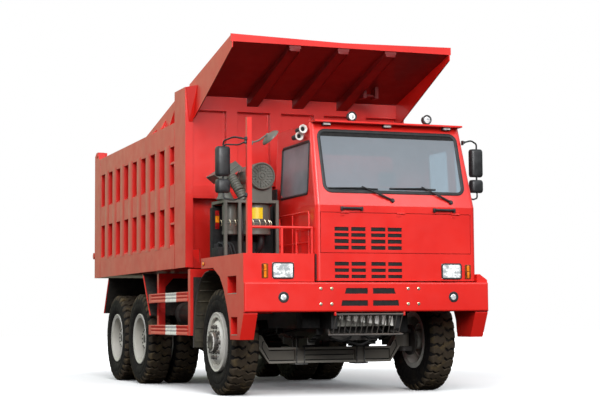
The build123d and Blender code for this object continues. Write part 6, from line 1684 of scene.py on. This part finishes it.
@dataclass
class FenderTrim:
    """Step treads, marker lamps and the liners behind the front wheels with their edge beads."""

    liner: tuple[Range, ...] = (
        (0.150, 1.610), (0.330, 1.592), (0.480, 1.530), (0.610, 1.432), (0.715, 1.300), (0.790, 1.140),
        (0.838, 0.960), (0.864, 0.780), (0.872, 0.600),
    )
    liner_x: Range = (1.165, 1.612)
    step_x: float = 1.661
    steps: tuple[tuple[float, float, float, float], ...] = (
        (1.2895, -1.092, -0.756, 0.085), (0.7805, -1.123, -0.886, 0.070),
    )

    def build(self) -> None:
        """Builds both sides."""
        treads, amber, base, liners, edges = shapes(5)
        for side in SIDES:
            for z, y0, y1, depth in self.steps:
                inner, outer = side * (self.step_x - depth), side * (self.step_x + 0.0005)
                treads.block((inner, y0, z), (outer, y1, z + 0.009), 0.003)
                for i in range(4):
                    x = side * (self.step_x - depth * (i + 0.6) / 4.4)
                    treads.block((x - 0.004, y0 + 0.01, z + 0.008), (x + 0.004, y1 - 0.01, z + 0.0115), 0.001)
            lamp, axis = (side * 1.6605, 0.255, 1.705 if side < 0 else 1.490), (side, 0, 0)
            foot = [(0.0, 0.0), (0.032, 0.0), (0.032, 0.004), (0.027, 0.006), (0.0, 0.006)]
            base.lathe(foot, lamp, axis, 24)
            amber.lathe([(0.026, 0.006), (0.022, 0.013), (0.010, 0.017), (0.0, 0.0175)], lamp, axis, 20)
            self.sheet(liners, side)
            edges.tube([(side * self.liner_x[1], y, z) for y, z in self.liner], 0.009)
        treads.piece("step_treads", BRIGHT)
        base.piece("side_marker_bases", ABS)
        amber.piece("side_marker_lenses", AMBER)
        liners.piece("front_wheel_liners", FLAP_DUSTY)
        edges.piece("front_liner_beads", CAST, slot=FRAME)

    def sheet(self, shape: Shape, side: int) -> None:
        """One liner: a bent sheet with pressed ribs across the wheel's width.

        Args:
            shape: the shape it is added to.
            side: -1 on the right, 1 on the left.
        """
        outline = [*self.liner, *((y + 0.006, z + 0.006) for y, z in reversed(self.liner))]
        x0, x1 = across(side, *self.liner_x)
        shape.prism(outline, "X", x0, x1)
        for (y0, z0), (y1, z1) in zip(self.liner[1:], self.liner[2:]):
            y, z = (y0 + y1) / 2, (z0 + z1) / 2
            shape.block((x0 + 0.02, y - 0.012, z - 0.012), (x1 - 0.02, y + 0.004, z + 0.004), 0.004)


@dataclass
class SideGear:
    """Pressed rails, tape and gussets of the side guards, and the tanks' hoops, straps and caps.

    A rail's section is given by its share of the height and how far it stands out.
    """

    face: float = 1.6535
    rails: tuple[Range, ...] = ((0.760, 0.900), (1.220, 1.355))
    section: Profile = (
        (0.00, 0.0), (0.05, 0.006), (0.27, 0.006), (0.33, 0.001), (0.38, 0.001), (0.44, 0.006), (0.60, 0.006),
        (0.66, 0.001), (0.71, 0.001), (0.77, 0.006), (0.95, 0.006), (1.00, 0.0),
    )
    gussets: tuple[Range, ...] = ((0.896, 1.554), (2.903, 1.441))
    tank_x: float = -1.150
    tank_z: float = 1.060

    def build(self) -> None:
        """Builds both sides."""
        rails, tape, gussets = shapes(3)
        for side in SIDES:
            for low, high in self.rails:
                self.rail(rails, side, low, high, (1.004, 2.896), 0.0)
                self.rail(tape, side, low, high, (1.560, 2.110), 0.0016)
            for y, post in self.gussets:
                corners = [(side * post, 1.592), (side * (post - 0.125), 1.592), (side * post, 1.455)]
                gussets.prism(corners, "Y", y, y + 0.012)
        rails.piece("guard_rail_pressings", RED)
        tape.piece("guard_tape", TAPE_WHITE)
        gussets.piece("guard_gussets", RED)
        self.tanks()

    def rail(self, shape: Shape, side: int, low: float, high: float, run: Range, lift: float) -> None:
        """A length of rail cover with two grooves along it.

        Args:
            shape: the shape it is added to.
            side: -1 on the right, 1 on the left.
            low: the rail's foot.
            high: the rail's top.
            run: its ends along Y.
            lift: how far it lies proud of the rail.
        """
        face, tall = self.face + lift, high - low
        outline = [(side * (face + out), low + tall * share) for share, out in self.section]
        outline += [(side * (self.face - 0.002), z) for z in (high, low)]
        shape.prism(outline, "Y", *run)

    def tanks(self) -> None:
        """Hoops on the air tank, straps and a filler on the fuel tank."""
        hoops, straps = shapes(2)
        for y in (1.42, 1.48, 1.54, 1.60, 1.66, 2.00, 2.62, 2.68, 2.74):
            hoop = [(0.170, -0.010), (0.176, -0.006), (0.176, 0.006), (0.170, 0.010)]
            hoops.lathe(hoop, (self.tank_x, y, self.tank_z), Y_AXIS, 48)
        dome = [(0.150, -0.001), (0.120, -0.020), (0.060, -0.034), (0.0, -0.038)]
        hoops.lathe(dome, (self.tank_x, 1.351, self.tank_z), Y_AXIS, 40)
        hoops.piece("air_tank_hoops", CAST, slot=FRAME, smooth=25.0)
        for y in (1.55, 2.05, 2.50):
            for x0, x1, z0, z1 in (
                (0.792, 1.436, 1.378, 1.386), (1.428, 1.4365, 0.800, 1.330), (0.860, 1.370, 0.733, 0.741),
            ):
                straps.block((x0, y - 0.030, z0), (x1, y + 0.030, z1), 0.002)
        filler = [(0.058, 0.0), (0.058, 0.024), (0.066, 0.028), (0.066, 0.050), (0.054, 0.060), (0.0, 0.060)]
        straps.lathe(filler, (1.18, 1.34, 1.379), Z_AXIS, 28)
        straps.piece("fuel_tank_straps", STEEL)


@dataclass
class DumpSideDress:
    """Ledges, pressed columns, gussets and filler plates of the dump body's sides."""

    first: float = 1.760
    pitch: float = 0.527
    count: int = 9
    width: float = 0.262
    outer: float = 1.660
    sills: Range = (2.020, 2.875)

    def build(self) -> None:
        """Builds both sides on the dump body."""
        ledges, columns, corners = shapes(3)
        for side in SIDES:
            for i in range(self.count):
                middle = self.first + self.pitch * i
                half = (self.width - (0.050 if i == 0 else 0.0)) / 2
                for z in self.sills:
                    ledge = ((1.5755, z + 0.0005), (1.6590, z + 0.0005), (1.5755, z + 0.062))
                    run = (middle - half + 0.0005, middle + half - 0.0005)
                    ledges.prism([(side * x, h) for x, h in ledge], "Y", *run)
                if i + 1 < self.count:
                    self.column(columns, side, middle + half, middle + self.pitch - self.width / 2)
            for y, z in ((1.95, 4.005), (2.45, 3.900), (2.95, 3.815)):
                wedge = ((1.5645, z), (1.5645, 3.742), (1.652, 3.740))
                corners.hull((side * x, y + w, h) for w in (-0.008, 0.008) for x, h in wedge)
            filler = (
                (1.6585, 1.099, 4.180), (1.5505, 0.870, 4.180), (1.5505, 1.099, 4.180), (1.610, 1.099, 3.700),
                (1.5505, 1.099, 3.700),
            )
            corners.hull((side * x, y, z) for x, y, z in filler)
            for y in (1.640, 6.190):
                columns.block((side * 1.6602, y - 0.004, 1.700), (side * 1.6622, y + 0.004, 3.690), 0.0008)
        ledges.piece("side_window_ledges", RED, Body.DUMP)
        columns.piece("side_pressed_columns", RED, Body.DUMP)
        corners.piece("side_gussets", RED, Body.DUMP)

    def column(self, shape: Shape, side: int, y0: float, y1: float) -> None:
        """A post between two window columns, pressed out a little with rolled edges.

        Args:
            shape: the shape it is added to.
            side: -1 on the right, 1 on the left.
            y0: its front edge.
            y1: its rear edge.
        """
        flat, out = side * self.outer, side * (self.outer + 0.005)
        outline = [(flat, y0 + 0.004), (out, y0 + 0.020), (out, y1 - 0.020), (flat, y1 - 0.004)]
        shape.prism(outline, "Z", 1.985, 3.455)


@dataclass
class DumpFront:
    """Lifting lug, weld beads and tabs of the canopy's beams, in the red's painted shade copy."""

    def build(self) -> None:
        """Builds them on the dump body."""
        lugs, tabs = shapes(2)
        for x in (-0.680, 0.0, 0.680):
            for side in SIDES:
                bead = x + side * 0.079
                front, rear = canopy_pan(-0.55) - 0.056, canopy_pan(1.10) - 0.118
                tabs.tube([(bead, -0.55, front), (bead, 1.10, rear)], 0.0045, 6)
            tabs.block((x - 0.070, -0.609, 4.440), (x + 0.070, -0.585, 4.512), 0.004)
        front, rear = canopy_pan(0.52) + 0.002, canopy_pan(0.68) + 0.002
        cheek = [(0.52, 4.06), (0.68, 4.06), (0.68, rear), (0.52, front)]
        for x in (0.77, 0.95):
            lugs.prism(cheek, "X", x, x + 0.05)
        tabs.tube([(0.76, 0.60, 4.105), (1.01, 0.60, 4.105)], 0.022, 12)
        # painted shade: the lugs, beads and tabs under the canopy take the darker copy of the red
        lugs.piece("canopy_lugs", RED_PAINTED_SHADE, Body.DUMP)
        tabs.piece("canopy_tabs", RED_PAINTED_SHADE, Body.DUMP)


@dataclass
class RearEnd:
    """Tail lamps, flap edges, latch hooks, the blank plate and the gate's hardware."""

    flaps: tuple[tuple[Range, Range], ...] = (
        ((3.450, 1.660), (3.040, 1.039)), ((5.650, 1.660), (5.983, 1.086)),
    )

    def build(self) -> None:
        """Builds them on the chassis, the dump body and the gate."""
        cases, ruby, amber, strips = shapes(4)
        for side in SIDES:
            cases.block((side * 0.500, 6.180, 1.030), (side * 0.860, 6.245, 1.150), 0.008)
            cases.block((side * 0.471, 6.190, 1.060), (side * 0.505, 6.235, 1.120), 0.004)
            for k, shape in enumerate((ruby, ruby, amber)):
                x = 0.512 + 0.116 * k
                shape.block((side * x, 6.243, 1.042), (side * (x + 0.106), 6.256, 1.138), 0.006)
            for (y0, z0), (y1, z1) in self.flaps:
                rear, front = (0.013, -0.004) if y1 > y0 else (-0.013, 0.004)
                outline = [(y0 + rear, z0), (y1 + rear, z1), (y1 + front, z1), (y0 + front, z0)]
                strips.prism(outline, "X", *across(side, 1.626, 1.6415))
        cases.piece("tail_lamp_cases", ABS)
        ruby.piece("tail_lamp_lenses", RUBY)
        amber.piece("tail_turn_lenses", AMBER)
        strips.piece("flap_edge_strips", RED)
        self.gate()

    @staticmethod
    def gate() -> None:
        """Blank plate, pin caps and stiffener beads on the gate; latch hooks on the body."""
        beads, blank, caps, hooks = shapes(4)
        for x in (-0.78, 0.0, 0.78):
            for z in (2.05, 2.95):
                beads.block((x - 0.19, 6.570, z), (x + 0.19, 6.580, z + 0.46), 0.006)
        rear = Panel((0.0, 6.6255, 0.0), (-1, 0, 0))
        rear.plate(blank, (-0.26, 0.26, 1.815, 1.900), 0.012, 0.0, 0.004)
        for side in SIDES:
            cap = [(0.044, -0.001), (0.044, 0.006), (0.030, 0.010), (0.0, 0.010)]
            caps.lathe(cap, (side * 1.6605, 6.435, 3.785), (side, 0, 0), 24)
            pin = [(0.0550, -0.062), (0.0550, -0.004), (0.049, 0.003), (0.0, 0.003)]
            caps.lathe(pin, (side * 1.6565, 6.700, 2.075), (side, 0, 0), 28)
            hook = [(6.590, 2.200), (6.602, 2.200), (6.602, 1.90), (6.590, 1.90)]
            hooks.prism(hook, "X", *across(side, 1.600, 1.640))
        beads.piece("gate_beads", RED, Body.GATE)
        blank.piece("blank_plate", TAPE_WHITE, Body.GATE)
        caps.piece("gate_pin_caps", RED, Body.GATE)
        # painted shade: the latch plates take the darker copy of the red
        hooks.piece("gate_latch_plates", RED_PAINTED_SHADE, Body.DUMP)


@dataclass
class Underbody:
    """Flanges and stops of the axle beam, spring clips, hoses and the lines behind the guard."""

    front_can: Profile = (
        (0.0, 0.0), (0.070, 0.0), (0.078, 0.012), (0.078, 0.060), (0.070, 0.072), (0.064, 0.120),
        (0.0, 0.125),
    )
    rear_can: Profile = (
        (0.0, 0.0), (0.080, 0.0), (0.090, 0.014), (0.090, 0.080), (0.080, 0.096), (0.060, 0.170),
        (0.0, 0.175),
    )

    def build(self) -> None:
        """Builds the pieces on the chassis."""
        self.beam()
        self.springs()
        self.lines()

    @staticmethod
    def beam() -> None:
        """Flanges of the axle beam in a lighter copy of its paint, a painted highlight, and dark tubes along
        its hollows, a painted shadow line.
        """
        beam, grooves = shapes(2)
        for y in (-0.0615, 0.0495):
            for z in (0.397, 0.575):
                beam.block((-0.870, y, z), (0.870, y + 0.012, z + 0.028), 0.003)
            for side in SIDES:
                for low, far, high in ((0.410, 1.005, 0.610), (0.590, 0.975, 0.755)):
                    beam.tube([(side * 0.868, y + 0.006, low), (side * far, y + 0.006, high)], 0.010)
        for side in SIDES:
            # painted shade: dark tubes along the edges of the beam's hollows, where the flanges shade the web
            corners = [(0.873, 0.452), (0.966, 0.606), (0.952, 0.684), (0.918, 0.680), (0.873, 0.604)]
            grooves.tube(arc_path([(side * x, -0.0590, z) for x, z in corners], 0.022), 0.0065)
            for z in (0.434, 0.566):
                grooves.tube([(side * 0.510, -0.0165, z), (side * 0.869, -0.0165, z)], 0.0065)
        for z in (0.436, 0.500, 0.564):
            grooves.tube([(-0.345, -0.0165, z), (0.345, -0.0165, z)], 0.0065)
        beam.piece("axle_beam_flanges", AXLE_EDGE)
        grooves.piece("axle_beam_shade_lines", DARK, slot=FLAPS)

    @staticmethod
    def springs() -> None:
        """U bolts over the springs, the clips along them and the plates below."""
        clips = Shape()
        for side in SIDES:
            x = side * SPRING_X
            for y in (-0.075, 0.075):
                for leg in (x - 0.054, x + 0.054):
                    clips.tube([(leg, y, 0.400), (leg, y, 0.735)], 0.010)
                clips.tube([(x - 0.054, y, 0.735), (x + 0.054, y, 0.735)], 0.010)
            for y in (-0.44, 0.44):
                clips.block((x - 0.052, y - 0.022, 0.640), (x + 0.052, y + 0.022, 0.735), 0.004)
            clips.block((x - 0.090, -0.115, 0.376), (x + 0.090, 0.115, 0.394), 0.004)
        clips.piece("spring_clips", STEEL)

    def lines(self) -> None:
        """Brake cans, hoses and the dark boxes behind the bumper."""
        lines = Shape()
        for side in SIDES:
            path = [(0.36, -0.95, 0.95), (0.56, -0.70, 0.86), (0.74, -0.20, 0.80), (0.93, -0.10, 0.76)]
            lines.tube(arc_path([(side * x, y, z) for x, y, z in path], 0.08), 0.011)
            lines.lathe(self.front_can, (side * 0.90, 0.10, 0.84), Z_AXIS, 28)
            for axle in (MIDDLE_AXLE, REAR_AXLE):
                lines.lathe(self.rear_can, (side * 0.36, axle - 0.30, 0.76), Y_AXIS, 28)
        for x, z in ((-0.20, 0.85), (0.05, 0.80), (0.24, 0.88)):
            path = [(x, -1.06, z), (x + 0.05, -1.16, z - 0.10), (x - 0.06, -1.10, z - 0.16),
                    (x - 0.16, -0.92, z - 0.12)]
            lines.tube(arc_path(path, 0.05), 0.016)
        lines.block((-0.74, -0.95, 0.86), (-0.50, -0.72, 1.08), 0.012)
        lines.block((0.50, -0.95, 0.80), (0.72, -0.70, 1.06), 0.012)
        lines.tube([(0.61, -0.82, 0.82), (0.61, -0.30, 0.70)], 0.020, 10)
        lines.piece("brake_and_air_lines", DARK, slot=FLAPS)


@dataclass
class GrilleBacks:
    """Black gauze in the slots of the hatch, the cab's apron and the bumper.

    A bumper slot is given by its reach along X, its height and how far its outer end slants.
    """

    columns: tuple[Range, ...] = ((-0.460, -0.270), (-0.235, -0.040), (0.035, 0.232), (0.265, 0.458))
    upper: tuple[Range, ...] = ((1.835, 1.881), (1.913, 1.963), (1.994, 2.039), (2.066, 2.115))
    lower: tuple[Range, ...] = ((1.478, 1.520), (1.555, 1.598), (1.633, 1.680))
    bumper: tuple[tuple[float, float, float, float, float], ...] = (
        (0.036, 0.334, 1.285, 1.353, -0.020), (0.036, 0.387, 1.135, 1.201, -0.012),
    )

    def build(self) -> None:
        """Builds the gauze, the hatch's on the hatch."""
        hatch, cab, beads, cab_beads = shapes(4)
        for x0, x1 in self.columns:
            for rows, gauze, bead in ((self.upper, hatch, beads), (self.lower, cab, cab_beads)):
                for z0, z1 in rows:
                    gauze.block((x0 + 0.0005, -1.353, z0 + 0.0005), (x1 - 0.0005, -1.334, z1 - 0.0005), 0.001)
                    bead.tube([(x, -1.3605, z1 + 0.003) for x in (x0 + 0.004, x1 - 0.004)], 0.0035, 6)
        for side in SIDES:
            for x0, x1, z0, z1, slant in self.bumper:
                corners = [(x0, z0), (x1 - slant / 2, z0), (x1 + slant / 2, z1), (x0, z1)]
                cab.prism([(side * x, z) for x, z in corners], "Y", -1.392, -1.342)
        cab.block((-0.722, -1.3655, 1.455), (-0.704, -1.3605, 1.775), 0.001)
        hatch.piece("hatch_gauze", DARK, Body.HATCH)
        cab.piece("apron_gauze", DARK)
        beads.piece("hatch_slot_beads", RED, Body.HATCH)
        cab_beads.piece("apron_slot_beads", RED)


ASSEMBLIES = (
    Tyres(), WheelHardware(), FrontLamps(), SumpLouvres(), CabTrim(), Seat(), DeckGear(), Mirrors(),
    FenderTrim(), SideGear(), DumpSideDress(), DumpFront(), RearEnd(), Underbody(), GrilleBacks(),
)


def main() -> None:
    """Builds the studio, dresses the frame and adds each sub-assembly."""
    logging.basicConfig(level=logging.INFO, format="%(message)s")
    dress_frame()
    Studio().build()
    for assembly in ASSEMBLIES:
        assembly.build()


if __name__ == "__main__":
    main()
